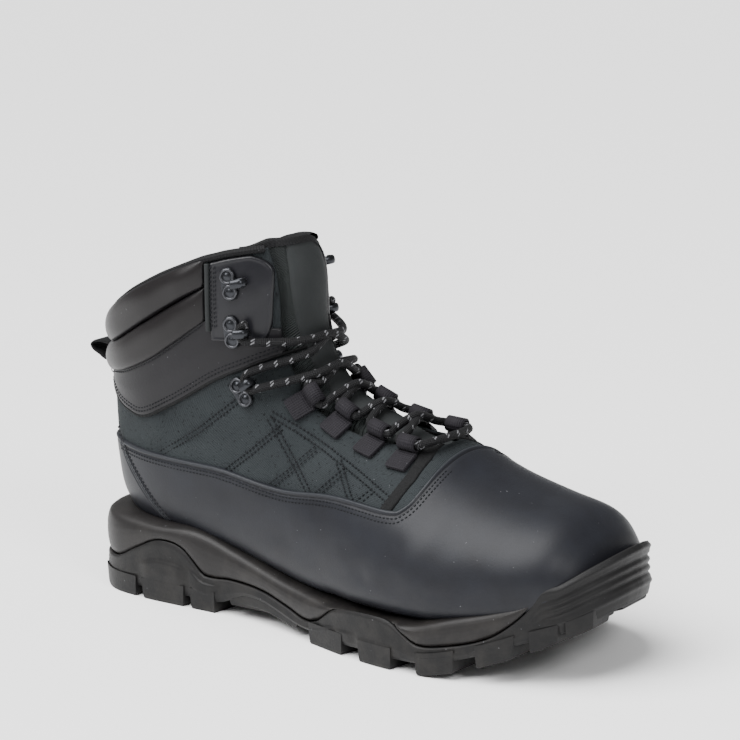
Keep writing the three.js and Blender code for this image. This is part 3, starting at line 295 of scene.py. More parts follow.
def turn_across(station, across):
    """Turn on the upper half of a section whose distance from the middle is the one asked."""
    station, across = np.broadcast_arrays(np.asarray(station, float), np.asarray(across, float))
    middle = section_point(station, 0 * station + np.pi)[..., 1]
    low, high = np.full(station.shape, np.pi / 2), np.full(station.shape, np.pi)
    for _ in range(30):
        angle = (low + high) / 2
        turn = np.where(across >= 0, 2 * np.pi - angle, angle)
        far = np.abs(section_point(station, turn)[..., 1] - middle) > np.abs(across)
        low, high = np.where(far, angle, low), np.where(far, high, angle)
    angle = (low + high) / 2
    return np.where(across >= 0, 2 * np.pi - angle, angle)


THROAT_START = float(find_spot((VAMP_EDGE - 0.02) * BOOT_LENGTH,
                               seat((VAMP_EDGE - 0.02) * BOOT_LENGTH) + 0.45 * SHAFT_RISE, 1)[0])


def throat_width(station):
    """Half width of the throat: a quick root rise at its start plus a slow one over 1.5 stations."""
    opened = np.clip((station - THROAT_START) / 1.5, 0, 1)
    return THROAT_HALF * (0.35 * np.sqrt(np.clip((station - THROAT_START) / 0.16, 0, 1)) + 0.65 * np.sqrt(opened))


def seam_points(line, step=0.04):
    """Points of a seam in side view: a cubic through its table, with heights over the foot's bed."""
    rows = np.arange(0, len(line) - 1 + step / 2, step)
    keys = np.arange(len(line), dtype=float)
    x = along(keys, line[:, 0], rows) * BOOT_LENGTH
    return np.stack([x, seat(x) + along(keys, line[:, 1], rows) * SHAFT_RISE], axis=-1)


def away_from(points, x, z):
    """Shortest distance in side view from each x, z to a densely drawn line."""
    best = np.full(x.shape, 1e9)
    for start, end in zip(points[:-1], points[1:]):
        run = end - start
        t = np.clip(((x - start[0]) * run[0] + (z - start[1]) * run[1]) / max(run @ run, 1e-9), 0, 1)
        best = np.minimum(best, np.hypot(x - start[0] - t * run[0], z - start[1] - t * run[1]))
    return best


def under_line(line, x, z):
    """Distance to a seam in side view, above nought below the seam."""
    points = seam_points(line, 0.12)
    level = np.interp(x, points[:, 0], points[:, 1])
    return np.where(z < level, 1, -1) * away_from(points, x, z)


def inside_ring(points, x, z):
    """Distance to a closed outline in side view, above nought within it."""
    odd = np.zeros(x.shape, bool)
    for (ax, az), (bx, bz) in zip(points, np.roll(points, -1, axis=0)):
        over = (az > z) != (bz > z)
        odd ^= over & (x < ax + (bx - ax) * (z - az) / (bz - az + 1e-12))
    return np.where(odd, 1, -1) * away_from(np.vstack([points, points[:1]]), x, z)


def net_of(first, second):
    """Triangles over a grid of two parameters."""
    a, b = np.meshgrid(first, second, indexing="ij")
    index = np.arange(a.size).reshape(a.shape)
    p, q, r, s = index[:-1, :-1], index[:-1, 1:], index[1:, 1:], index[1:, :-1]
    faces = np.concatenate([np.stack([p, q, r], -1).reshape(-1, 3), np.stack([p, r, s], -1).reshape(-1, 3)])
    return np.stack([a.ravel(), b.ravel()], -1), faces


def cut(spots, faces, value, both=False):
    """Splits a net along the line where value is nought, and drops what lies below it unless both sides are asked."""
    above = value > 0
    count = above[faces].sum(1)
    whole = faces[(count == 3) | ((count == 0) & both)]
    mixed = faces[(count == 1) | (count == 2)]
    sides = above[mixed]
    lone = np.where(sides.sum(1)[:, None] == 1, sides, ~sides).argmax(1)
    row = np.arange(len(mixed))
    a, b, c = (mixed[row, (lone + k) % 3] for k in range(3))
    pairs = np.sort(np.concatenate([np.stack([a, b], 1), np.stack([a, c], 1)]), axis=1)
    edges, index = np.unique(pairs, axis=0, return_inverse=True)
    index = index.ravel()
    first, second = value[edges[:, 0]], value[edges[:, 1]]
    share = (first / (first - second))[:, None]
    fresh = spots[edges[:, 0]] + (spots[edges[:, 1]] - spots[edges[:, 0]]) * share
    ab, ac = len(spots) + index[:len(a)], len(spots) + index[len(a):]
    tip = np.stack([a, ab, ac], 1)
    base = np.concatenate([np.stack([ab, b, c], 1), np.stack([ab, c, ac], 1)])
    if not both:
        tip, base = tip[above[a]], base[np.tile(~above[a], 2)]
    faces = np.concatenate([whole, tip, base])
    spots = np.concatenate([spots, fresh])
    used, place = np.unique(faces, return_inverse=True)
    return spots[used], place.reshape(faces.shape)


def sliced(spots, faces, column, levels):
    """Splits a net along the lines where one of its columns has each of the levels."""
    for level in levels:
        spots, faces = cut(spots, faces, spots[:, column] - level + 1e-7, both=True)
    return spots, faces


def rolled(distance, radius):
    """Quarter-round rise from nought at an edge to one at the radius."""
    t = np.clip(distance / radius, 0, 1)
    return np.sqrt(np.maximum(0, 1 - (1 - t) ** 2))


def swell_of(x, z):
    """Sum of soft troughs and ridges: each falls off as a bell across its line."""
    total = np.zeros(x.shape)
    for ax, az, bx, bz, width, depth in CREASES:
        distance = away_from(np.array([[ax, az], [bx, bz]], float), x, z)
        total += depth * np.exp(-((distance / width) ** 2))
    return total


def put(name, points, faces, materials, uv=None, values=None, material_index=None, flat=False, weld=True):
    """Makes a piece at the origin from points in the heel's frame, with its own uv map and values per point."""
    points = np.asarray(points, float).reshape(-1, 3)
    faces = np.asarray(faces, int).reshape(len(faces), -1)
    if weld:
        _, keep, place = np.unique(np.round(points, 3), axis=0, return_index=True, return_inverse=True)
        place = place.ravel()
        corner_uv = None if uv is None else uv[faces.ravel()]
        values = {key: value[keep] for key, value in (values or {}).items()}
        points, faces = points[keep], place[faces]
        if faces.shape[1] == 3:
            good = (faces[:, 0] != faces[:, 1]) & (faces[:, 1] != faces[:, 2]) & (faces[:, 0] != faces[:, 2])
        else:
            good = (faces[:, 0] != faces[:, 2]) & (faces[:, 1] != faces[:, 3])
        if corner_uv is not None:
            corner_uv = corner_uv.reshape(len(faces), -1, 2)[good].reshape(-1, 2)
        if material_index is not None:
            material_index = material_index[good]
        faces = faces[good]
    else:
        corner_uv = None if uv is None else uv[faces.ravel()]
    mesh = bpy.data.meshes.new(name)
    mesh.vertices.add(len(points))
    mesh.vertices.foreach_set("co", ((points + SHIFT) / 1000).ravel())
    mesh.loops.add(faces.size)
    mesh.loops.foreach_set("vertex_index", faces.ravel())
    mesh.polygons.add(len(faces))
    mesh.polygons.foreach_set("loop_start", np.arange(len(faces)) * faces.shape[1])
    mesh.update(calc_edges=True)
    if corner_uv is not None:
        mesh.uv_layers.new(name="UVMap").data.foreach_set("uv", corner_uv.ravel())
    for key, value in (values or {}).items():
        mesh.attributes.new(key, "FLOAT", "POINT").data.foreach_set("value", value)
    for material in materials:
        mesh.materials.append(material)
    if material_index is not None:
        mesh.polygons.foreach_set("material_index", material_index)
    mesh.polygons.foreach_set("use_smooth", np.full(len(mesh.polygons), not flat))
    mesh.validate()
    piece = bpy.data.objects.new(name, mesh)
    bpy.context.scene.collection.objects.link(piece)
    return piece


def dressed(piece, slot, *nodes):
    """Hangs a piece on the root body and hides the solids that it replaces; the slot is not used."""
    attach(piece, "root")
    if nodes:
        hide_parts(*nodes)
    return piece


# Materials


def group_of(name, inputs, outputs, build):
    """A shared effect, made once: its inputs, its outputs and the nodes between them."""
    group = bpy.data.node_groups.new(name, "ShaderNodeTree")
    for label, kind, value in inputs:
        socket = group.interface.new_socket(label, in_out="INPUT", socket_type=kind)
        if value is not None:
            socket.default_value = value
    for label, kind in outputs:
        group.interface.new_socket(label, in_out="OUTPUT", socket_type=kind)
    build(group.nodes, group.links, group.nodes.new("NodeGroupInput"), group.nodes.new("NodeGroupOutput"))
    return group


def link_in(links, socket, value):
    """Links a socket, or sets a plain value."""
    if isinstance(value, bpy.types.NodeSocket):
        links.new(value, socket)
    else:
        socket.default_value = value


def maths(nodes, links, operation, *values):
    node = nodes.new("ShaderNodeMath")
    node.operation = operation
    for i, value in enumerate(values):
        link_in(links, node.inputs[i], value)
    return node.outputs[0]


def noise(nodes, links, vector, scale, detail=3.0, rough=0.55):
    """Factor of a noise texture."""
    node = nodes.new("ShaderNodeTexNoise")
    links.new(vector, node.inputs["Vector"])
    link_in(links, node.inputs["Scale"], scale)
    node.inputs["Detail"].default_value = detail
    node.inputs["Roughness"].default_value = rough
    return node.outputs["Fac"]


def grain_nodes(nodes, links, start, end):
    """Fine noise with pebble cells for the height, and a broad mottle."""
    vector, scale = start.outputs["Vector"], start.outputs["Scale"]
    fine = noise(nodes, links, vector, scale, 4.0, 0.62)
    broad = noise(nodes, links, vector, maths(nodes, links, "MULTIPLY", scale, 0.045), 3.0)
    cells = nodes.new("ShaderNodeTexVoronoi")
    links.new(vector, cells.inputs["Vector"])
    links.new(maths(nodes, links, "MULTIPLY", scale, 0.6), cells.inputs["Scale"])
    pebble = maths(nodes, links, "MULTIPLY", cells.outputs["Distance"], 0.5)
    links.new(maths(nodes, links, "ADD", fine, pebble), end.inputs["Height"])
    links.new(broad, end.inputs["Broad"])
    links.new(fine, end.inputs["Fine"])


def weave_nodes(nodes, links, start, end):
    """Product of two crossed sines over the uv map, and plain ribs."""
    split = nodes.new("ShaderNodeSeparateXYZ")
    links.new(start.outputs["Vector"], split.inputs[0])
    scale = start.outputs["Scale"]
    across = maths(nodes, links, "MULTIPLY", split.outputs["X"], scale)
    upward = maths(nodes, links, "MULTIPLY", split.outputs["Y"], scale)
    warp = maths(nodes, links, "SINE", maths(nodes, links, "ADD", across, upward))
    weft = maths(nodes, links, "SINE", maths(nodes, links, "SUBTRACT", across, upward))
    links.new(maths(nodes, links, "MULTIPLY", warp, weft), end.inputs["Height"])
    links.new(maths(nodes, links, "SINE", upward), end.inputs["Ribs"])


def dirt_nodes(nodes, links, start, end):
    """Dust in patches that fade out above the sole, and rare specks."""
    vector = start.outputs["Vector"]
    split = nodes.new("ShaderNodeSeparateXYZ")
    links.new(vector, split.inputs[0])
    low = nodes.new("ShaderNodeMapRange")
    links.new(split.outputs["Z"], low.inputs["Value"])
    low.inputs["From Min"].default_value = 0.055
    low.inputs["From Max"].default_value = 0.004
    patches = maths(nodes, links, "SUBTRACT", noise(nodes, links, vector, 90.0, 5.0, 0.65), 0.42)
    mask = maths(nodes, links, "MULTIPLY", maths(nodes, links, "MULTIPLY", patches, 3.0), low.outputs["Result"])
    links.new(maths(nodes, links, "MAXIMUM", mask, 0.0), end.inputs["Dust"])
    specks = maths(nodes, links, "GREATER_THAN", noise(nodes, links, vector, 620.0, 1.0), 0.80)
    links.new(specks, end.inputs["Specks"])


GRAIN = group_of("Grain", [("Vector", "NodeSocketVector", None), ("Scale", "NodeSocketFloat", 900.0)],
                 [("Height", "NodeSocketFloat"), ("Broad", "NodeSocketFloat"), ("Fine", "NodeSocketFloat")],
                 grain_nodes)
WEAVE = group_of("Weave", [("Vector", "NodeSocketVector", None), ("Scale", "NodeSocketFloat", 100.0)],
                 [("Height", "NodeSocketFloat"), ("Ribs", "NodeSocketFloat")], weave_nodes)
DIRT = group_of("Dirt", [("Vector", "NodeSocketVector", None)],
                [("Dust", "NodeSocketFloat"), ("Specks", "NodeSocketFloat")], dirt_nodes)


class Surface:
    """One procedural material: a mottled colour, a grain and any further marks, on the standard shader."""

    def __init__(self, name, dark, light, rough, grain=900.0, bump=0.25, depth=0.0004, dust=0.25, **sockets):
        self.material = bpy.data.materials.new(name)
        self.material.use_nodes = True
        self.nodes, self.links = self.material.node_tree.nodes, self.material.node_tree.links
        self.shader = self.nodes["Principled BSDF"]
        self.place = self.nodes.new("ShaderNodeTexCoord").outputs["Object"]
        self.grain = self.group(GRAIN, self.place, grain)
        self.colour = self.mix(self.grain.outputs["Broad"], dark, light)
        self.height = self.maths("MULTIPLY", self.grain.outputs["Height"], bump)
        self.rough = self.maths("ADD", self.maths("MULTIPLY", self.grain.outputs["Fine"], 0.16), rough - 0.08)
        self.depth, self.dust = depth, dust
        self.shader.inputs["Specular IOR Level"].default_value = 0.2
        for key, value in sockets.items():
            self.shader.inputs[key.replace("_", " ")].default_value = value

    def group(self, group, vector, scale=None):
        node = self.nodes.new("ShaderNodeGroup")
        node.node_tree = group
        self.links.new(vector, node.inputs["Vector"])
        if scale is not None:
            node.inputs["Scale"].default_value = scale
        return node

    def maths(self, operation, *values):
        return maths(self.nodes, self.links, operation, *values)

    def mix(self, factor, first, second):
        node = self.nodes.new("ShaderNodeMix")
        node.data_type = "RGBA"
        link_in(self.links, node.inputs[0], factor)
        for socket, value in ((node.inputs[6], first), (node.inputs[7], second)):
            link_in(self.links, socket, value if isinstance(value, bpy.types.NodeSocket) else (*value, 1.0))
        return node.outputs[2]

    def value(self, name):
        node = self.nodes.new("ShaderNodeAttribute")
        node.attribute_name = name
        return node.outputs["Fac"]

    def uv(self):
        return self.nodes.new("ShaderNodeUVMap").outputs["UV"]

    def mark(self, mask, colour):
        self.colour = self.mix(mask, self.colour, colour)

    def raise_by(self, height, amount):
        self.height = self.maths("ADD", self.height, self.maths("MULTIPLY", height, amount))

    def band(self, value, middle, half):
        """One where the value is within half of the middle, soft at both ends."""
        far = self.maths("ABSOLUTE", self.maths("SUBTRACT", value, middle))
        return self.maths("SMOOTH_MAX", self.maths("SUBTRACT", 1.0, self.maths("DIVIDE", far, half)), 0.0, 0.1)

    def done(self):
        if self.dust:
            dirt = self.group(DIRT, self.place)
            self.mark(self.maths("MULTIPLY", dirt.outputs["Dust"], self.dust), (0.20, 0.18, 0.155))
            self.mark(self.maths("MULTIPLY", dirt.outputs["Specks"], 0.3), (0.25, 0.25, 0.27))
        self.links.new(self.colour, self.shader.inputs["Base Color"])
        self.links.new(self.rough, self.shader.inputs["Roughness"])
        bump = self.nodes.new("ShaderNodeBump")
        bump.inputs["Strength"].default_value = 1.0
        bump.inputs["Distance"].default_value = self.depth
        self.links.new(self.height, bump.inputs["Height"])
        self.links.new(bump.outputs["Normal"], self.shader.inputs["Normal"])
        return self.material


def nubuck_material():
    """Smooth nubuck, with a painted highlight along its rolled edge and painted shade in the groove behind it."""
    made = Surface("coated_nubuck", (0.0050, 0.0050, 0.0070), (0.0110, 0.0122, 0.0165), 0.47, grain=1500.0, bump=0.30,
                   depth=0.00012, dust=0.06, Coat_Weight=0.05, Coat_Roughness=0.42)
    # Painted highlight: a paler band over the rolled lip of the edge.
    made.mark(made.maths("MULTIPLY", made.band(made.value("edge"), 0.9, 0.9), 0.55), (0.030, 0.033, 0.037))
    # Painted shade: a darker band in the groove behind the lip.
    made.mark(made.maths("MULTIPLY", made.band(made.value("edge"), 2.4, 0.5), 0.8), (0.004, 0.004, 0.005))
    return made.done()


def textile_material():
    """Woven cloth with fine pits, with a painted highlight on the raised threads and painted shade in the pits."""
    made = Surface("woven_quarter", (0.0095, 0.0115, 0.0135), (0.0235, 0.0285, 0.0305), 0.84, grain=1100.0, bump=0.5,
                   depth=0.00035, dust=0.15)
    weave = made.group(WEAVE, made.uv(), 620.0)
    made.raise_by(weave.outputs["Height"], 0.35)
    # Painted highlight: paler colour where the weave stands highest.
    made.mark(made.maths("MULTIPLY", made.maths("GREATER_THAN", weave.outputs["Height"], 0.35), 0.35),
              (0.036, 0.043, 0.045))
    # Painted shade: the pits are sunk and coloured darker.
    pits = made.maths("GREATER_THAN", noise(made.nodes, made.links, made.place, 760.0, 2.0), 0.66)
    made.mark(made.maths("MULTIPLY", pits, 0.75), (0.0025, 0.003, 0.004))
    made.raise_by(pits, -0.9)
    return made.done()


def ribbed_material(name, dark, light, ribs, amount):
    """Ribbed cloth, with a painted highlight on its ribs."""
    made = Surface(name, dark, light, 0.85, grain=1300.0, bump=0.35, depth=0.0004, dust=0.0)
    weave = made.group(WEAVE, made.uv(), ribs)
    made.raise_by(weave.outputs["Ribs"], amount)
    # Painted highlight: the light colour laid on the raised ribs.
    made.mark(made.maths("MULTIPLY", made.maths("GREATER_THAN", weave.outputs["Ribs"], 0.6), 0.4), light)
    return made.done()


def tape_material(name, dark, light):
    """Tape with a crossed weave."""
    made = Surface(name, dark, light, 0.72, grain=1600.0, bump=0.4, depth=0.0003, dust=0.1)
    weave = made.group(WEAVE, made.uv(), 260.0)
    made.raise_by(weave.outputs["Height"], 0.5)
    return made.done()


def lace_material():
    """Braid from two crossed helices, and pairs of pale dashes that wind round the cord."""
    made = Surface("braided_lace", (0.0028, 0.0028, 0.0032), (0.0070, 0.0070, 0.0080), 0.62, grain=2600.0, bump=0.3,
                   depth=0.00025, dust=0.0)
    split = made.nodes.new("ShaderNodeSeparateXYZ")
    made.links.new(made.uv(), split.inputs[0])
    length, around = split.outputs["X"], split.outputs["Y"]
    spin = made.maths("MULTIPLY", around, 8 * 2 * math.pi)
    run = made.maths("MULTIPLY", length, 2 * math.pi / 2.0)
    braid = made.maths("MULTIPLY", made.maths("SINE", made.maths("ADD", spin, run)),
                       made.maths("SINE", made.maths("SUBTRACT", spin, run)))
    made.raise_by(braid, 0.8)
    helix = made.maths("FRACT", made.maths("ADD", made.maths("MULTIPLY", around, 2.0),
                                           made.maths("DIVIDE", length, 9.0)))
    dashes = made.maths("LESS_THAN", made.maths("FRACT", made.maths("DIVIDE", length, 7.4)), 0.24)
    pair = made.maths("MAXIMUM", made.band(helix, 0.30, 0.09), made.band(helix, 0.56, 0.09))
    made.mark(made.maths("MULTIPLY", made.maths("MULTIPLY", pair, dashes), 1.5), (0.17, 0.17, 0.18))
    return made.done()


def leather_material(name, dark, light, rough, coat, bump=0.22):
    """Smooth leather with painted shade: a dark line along its rolled edge."""
    made = Surface(name, dark, light, rough, grain=1000.0, bump=bump, depth=0.00018, dust=0.05, Coat_Weight=coat,
                   Coat_Roughness=0.30)
    # Painted shade: darker colour where the edge rolls down to the seam.
    made.mark(made.maths("MULTIPLY", made.band(made.value("edge"), 0.5, 0.9), 0.7), (0.006, 0.006, 0.007))
    return made.done()


def plain_material(name, dark, light, rough, grain, bump, depth, dust, **sockets):
    return Surface(name, dark, light, rough, grain=grain, bump=bump, depth=depth, dust=dust, **sockets).done()


NUBUCK = nubuck_material()
TEXTILE = textile_material()
LINING = ribbed_material("lining_cloth", (0.004, 0.004, 0.0045), (0.009, 0.009, 0.010), 500.0, 0.2)
GUSSET = ribbed_material("ribbed_gusset", (0.011, 0.013, 0.0130), (0.026, 0.030, 0.0295), 520.0, 0.9)
TONGUE_FACE = plain_material("tongue_face", (0.013, 0.0145, 0.0150), (0.021, 0.023, 0.0235), 0.76, 1500.0, 0.3, 0.0002,
                             0.05)
BAND_LEATHER = leather_material("band_leather", (0.0035, 0.0032, 0.0042), (0.0070, 0.0062, 0.0080), 0.44, 0.06)
FLAP_LEATHER = leather_material("flap_leather", (0.0055, 0.0055, 0.0072), (0.0100, 0.0100, 0.0130), 0.36, 0.16)
PAD_LEATHER = leather_material("pad_leather", (0.0030, 0.0022, 0.0024), (0.0062, 0.0048, 0.0053), 0.42, 0.10, bump=0.12)
TAPE = tape_material("woven_tape", (0.0022, 0.0022, 0.0025), (0.0050, 0.0050, 0.0060))
TAB_TAPE = tape_material("loop_webbing", (0.0060, 0.0052, 0.0070), (0.0130, 0.0115, 0.0150))
PIPING = plain_material("edge_piping", (0.002, 0.002, 0.0022), (0.007, 0.0075, 0.008), 0.8, 700.0, 1.0, 0.0006, 0.0)
THREAD = plain_material("thread", (0.0018, 0.0022, 0.003), (0.005, 0.006, 0.008), 0.7, 2400.0, 0.4, 0.0002, 0.0)
RUBBER = plain_material("moulded_rubber", (0.0045, 0.0044, 0.0046), (0.0090, 0.0088, 0.0092), 0.52, 1200.0, 0.3,
                        0.00022, 0.07)
FOAM = plain_material("midsole_foam", (0.0072, 0.0065, 0.0064), (0.0130, 0.0118, 0.0118), 0.48, 1400.0, 0.25,
                      0.00018, 0.08,
                      Coat_Weight=0.05, Coat_Roughness=0.4)
METAL = plain_material("gunmetal", (0.022, 0.023, 0.026), (0.045, 0.047, 0.052), 0.30, 900.0, 0.15, 0.0001, 0.0,
                       Metallic=0.9)
RIM_METAL = plain_material("rivet_rim", (0.042, 0.043, 0.047), (0.072, 0.073, 0.080), 0.34, 900.0, 0.15, 0.0001, 0.0,
                           Metallic=0.9)
LACE = lace_material()


# The upper's outer face, its panels and pads

def face_net(step, columns):
    """Net over stations and turns, with the side view's x and z and the throat's distance at each spot."""
    stations = np.unique(np.concatenate([np.arange(0, LAST + step / 2, step),
                                         THROAT_START + np.array([0, 0.01, 0.03, 0.06, 0.1, 0.16, 0.25])]))
    spots, faces = net_of(stations, np.linspace(-np.pi, np.pi, columns))
    face = section_point(spots[:, 0], spots[:, 1])
    middle = section_point(spots[:, 0], 0 * spots[:, 1] + np.pi)[:, 1]
    top = np.abs(spots[:, 1]) > np.pi / 2
    width = np.where(spots[:, 0] > THROAT_START, throat_width(spots[:, 0]), -3.0)
    throat = np.where(top, np.abs(face[:, 1] - middle) - width, 40.0)
    collar = under_line(COLLAR_LINE, face[:, 0], face[:, 2])
    return np.column_stack([spots, face[:, 0], face[:, 2], throat, collar]), faces


STATION, TURN, XX, ZZ, THROAT, COLLAR, OWN = range(7)
FACE = face_net(0.08, 201)
FACE = cut(*FACE, FACE[0][:, THROAT] + 1e-4)
FACE = cut(*FACE, FACE[0][:, COLLAR] + 1e-4)
UV_SCALE = np.array([0.34, 0.18])


def quilt_lines():
    """Each double row of quilting as two lines a little apart."""
    for row in QUILTING:
        points = np.array(row, float)
        run = unit(points[-1] - points[0])
        aside = np.array([-run[1], run[0]])
        for gap in (-1.2, 1.2):
            yield points + aside * gap


def textile_relief(x, z):
    """Bell-shaped valleys across the quilting lines, plus the soft creases."""
    valley = np.full(x.shape, 1e9)
    for points in quilt_lines():
        valley = np.minimum(valley, away_from(points, x, z))
    return -0.35 * np.exp(-((valley / 1.5) ** 2)) + swell_of(x, z)


def make_upper():
    """Quarter and lining: the skin at nought and one wall deeper, both rolled to the middle at the edges."""
    spots, faces = sliced(*FACE, THROAT, (0.25, 0.8, 1.6))
    spots, faces = sliced(spots, faces, COLLAR, (0.5, 1.4))
    edge = np.minimum(spots[:, THROAT], spots[:, COLLAR])
    out = -UPPER_WALL / 2 + UPPER_WALL / 2 * rolled(edge, 1.4)
    out += textile_relief(spots[:, XX], spots[:, ZZ]) * smooth(edge, 0, 6)
    outer = skin(spots[:, STATION], spots[:, TURN], out)
    inner_out = -UPPER_WALL / 2 - UPPER_WALL / 2 * rolled(edge, 1.4)
    inner = skin(spots[:, STATION], spots[:, TURN], inner_out)
    index = np.concatenate([np.zeros(len(faces), int), np.ones(len(faces), int)])
    uv = np.tile(spots[:, [TURN, STATION]] * UV_SCALE, (2, 1))
    piece = put("quarter", np.vstack([outer, inner]), np.vstack([faces, faces[:, ::-1] + len(spots)]),
                [TEXTILE, LINING], uv=uv, material_index=index)
    dressed(piece, "textile", "upper")


def panel(name, own, levels, height, material, slot, node=None, keep=None):
    """A panel on the upper: cut out where its own distance is above nought, raised by a function of it."""
    spots, faces = FACE
    distance = own(spots)
    spots = np.column_stack([spots, distance])
    spots, faces = cut(spots, faces, distance)
    if keep is not None:
        spots, faces = cut(spots, faces, keep(spots))
    spots, faces = sliced(spots, faces, OWN, levels)
    points = skin(spots[:, STATION], spots[:, TURN], height(spots))
    piece = put(name, points, faces, [material], uv=spots[:, [TURN, STATION]] * UV_SCALE,
                values={"edge": spots[:, OWN]})
    return dressed(piece, slot, *([node] if node else []))


SIDES = ((-1, "lateral"), (1, "medial"))
EDGE_LEVELS = (0.15, 0.45, 0.9, 1.5, 2.0, 2.5, 3.0, 3.6)


def counter_side(spots):
    """Distance in front of the counter's slanted seam."""
    points = seam_points(COUNTER_SEAM, 0.12)
    points = np.vstack([[points[0, 0] - 1, 200], points, [points[-1, 0] + 3, -20]])
    seam_x = np.interp(-spots[:, ZZ], -points[:, 1], points[:, 0])
    return np.where(spots[:, XX] > seam_x, 1, -1) * away_from(points, spots[:, XX], spots[:, ZZ])


def rand_height(spots):
    """A rolled edge with a raised lip and a groove behind it, over the flat of the rand."""
    own = spots[:, OWN]
    lip = 0.35 * np.exp(-(((own - 1.0) / 0.7) ** 2)) - 0.5 * np.exp(-(((own - 2.4) / 0.45) ** 2))
    return -0.4 + (RAND + 0.4) * rolled(own, 1.2) + lip + 0.8 * swell_of(spots[:, XX], spots[:, ZZ]) * smooth(own, 1, 8)


def rand_own(spots):
    """Distance inside the rand: under its top seam and off the throat."""
    top = under_line(RAND_TOP, spots[:, XX], spots[:, ZZ])
    return np.minimum(top, spots[:, THROAT] + 0.6)


def make_rand():
    """Rand and toe as one panel, and the heel counter behind its slanted seam."""
    def over_seat(spots):
        return spots[:, ZZ] - seat(spots[:, XX]) - 0.5

    panel("rand", lambda s: np.minimum(rand_own(s), counter_side(s)), EDGE_LEVELS, rand_height, NUBUCK, "nubuck",
          "rand", keep=over_seat)
    panel("heel_counter", lambda s: np.minimum(under_line(RAND_TOP, s[:, XX], s[:, ZZ]), 0.3 - counter_side(s)),
          EDGE_LEVELS, lambda s: rand_height(s) - 0.25, NUBUCK, "nubuck", "heel_counter", keep=over_seat)


def between(low, high):
    """Distance inside the strip between two seams."""
    return lambda s: np.minimum(-under_line(low, s[:, XX], s[:, ZZ]), under_line(high, s[:, XX], s[:, ZZ]))


FLAP_RING = seam_points(FLAP_EDGE, 0.1)
FLAP_SEAT = seat(90.0)


def make_band():
    """The smooth band round the ankle, from the quarter up to the pads and the flap."""
    flap_top = np.vstack([seam_points(PAD_LOW, 0.1)[:-8], [[0.30 * BOOT_LENGTH, FLAP_SEAT + 0.76 * SHAFT_RISE]],
                          [[0.50 * BOOT_LENGTH, seat(150.0) + 0.76 * SHAFT_RISE]]])

    def own(spots):
        x, z = spots[:, XX], spots[:, ZZ]
        level = np.interp(x, flap_top[:, 0], flap_top[:, 1])
        under = np.where(z < level, 1, -1) * away_from(flap_top, x, z)
        return np.minimum(-under_line(BAND_LOW, x, z), np.minimum(under + 2.0, spots[:, THROAT]))

    def height(spots):
        puff = 0.8 * smooth(spots[:, OWN], 1, 16)
        return -0.4 + (BAND + 0.4) * rolled(spots[:, OWN], 1.4) + puff + 0.5 * swell_of(spots[:, XX], spots[:, ZZ])

    panel("ankle_band", own, EDGE_LEVELS, height, BAND_LEATHER, "band", "ankle_band")


def make_pad(name, low, high):
    """A collar pad: a power of a parabola between its two seams, with a root taper towards the flap."""
    edge_x = (FLAP_SEAM - 0.004) * BOOT_LENGTH

    def own(spots):
        return np.minimum(between(low, high)(spots), edge_x - spots[:, XX])

    def height(spots):
        x, z = spots[:, XX], spots[:, ZZ]
        low_away, high_away = np.abs(under_line(low, x, z)), np.abs(under_line(high, x, z))
        share = low_away / np.maximum(low_away + high_away, 1e-6)
        full = np.maximum(0, 1 - (2 * share - 1) ** 2) ** 0.62
        taper = np.sqrt(np.clip((edge_x - x) / 14, 0, 1))
        soft = 0.35 * np.sin(x * 0.16 + 1.3) * np.sin(z * 0.12) * full
        return -0.3 + (PAD_EDGE + 0.3) * rolled(spots[:, OWN], 1.4) + PAD_SWELL * full * taper + soft * taper

    pad = panel(name, own, (0.15, 0.5, 1.0, 1.6, 2.4, 3.4, 5.0), height, PAD_LEATHER, "pad", name)


def make_flaps():
    """Flap on each side: a quarter-round edge, a bell-shaped roll and an S-shaped swell within."""
    for side, word in SIDES:
        def own(spots, side=side):
            same = np.where(np.sign(np.sin(spots[:, TURN])) == -side, 1.0, -1.0) * 50
            ring = inside_ring(FLAP_RING, spots[:, XX], spots[:, ZZ])
            return np.minimum(np.minimum(ring, same), np.minimum(spots[:, THROAT], spots[:, COLLAR] - 2.4))

        def height(spots):
            roll = 0.35 * np.exp(-(((spots[:, OWN] - 1.2) / 0.8) ** 2))
            puff = 0.9 * smooth(spots[:, OWN], 1.5, 12)
            return 0.2 + (FLAP - 0.6) * rolled(spots[:, OWN], 1.6) + roll - 0.3 + puff

        panel("flap_" + word, own, EDGE_LEVELS, height, FLAP_LEATHER, "band", "flap_" + word)


def make_strips():
    """The dark speckled strip behind the vamp's edge, one on each side."""
    line = np.array([[197.5, 62], [201.5, 69], [205.5, 77], [208.5, 85], [208.5, 91], [206.5, 95]])
    panel("vamp_strip", lambda s: 3.1 - away_from(line, s[:, XX], s[:, ZZ]), (0.15, 0.45, 0.9, 1.5),
          lambda s: -0.3 + rolled(s[:, OWN], 1.0), PIPING, "textile")


# Small things


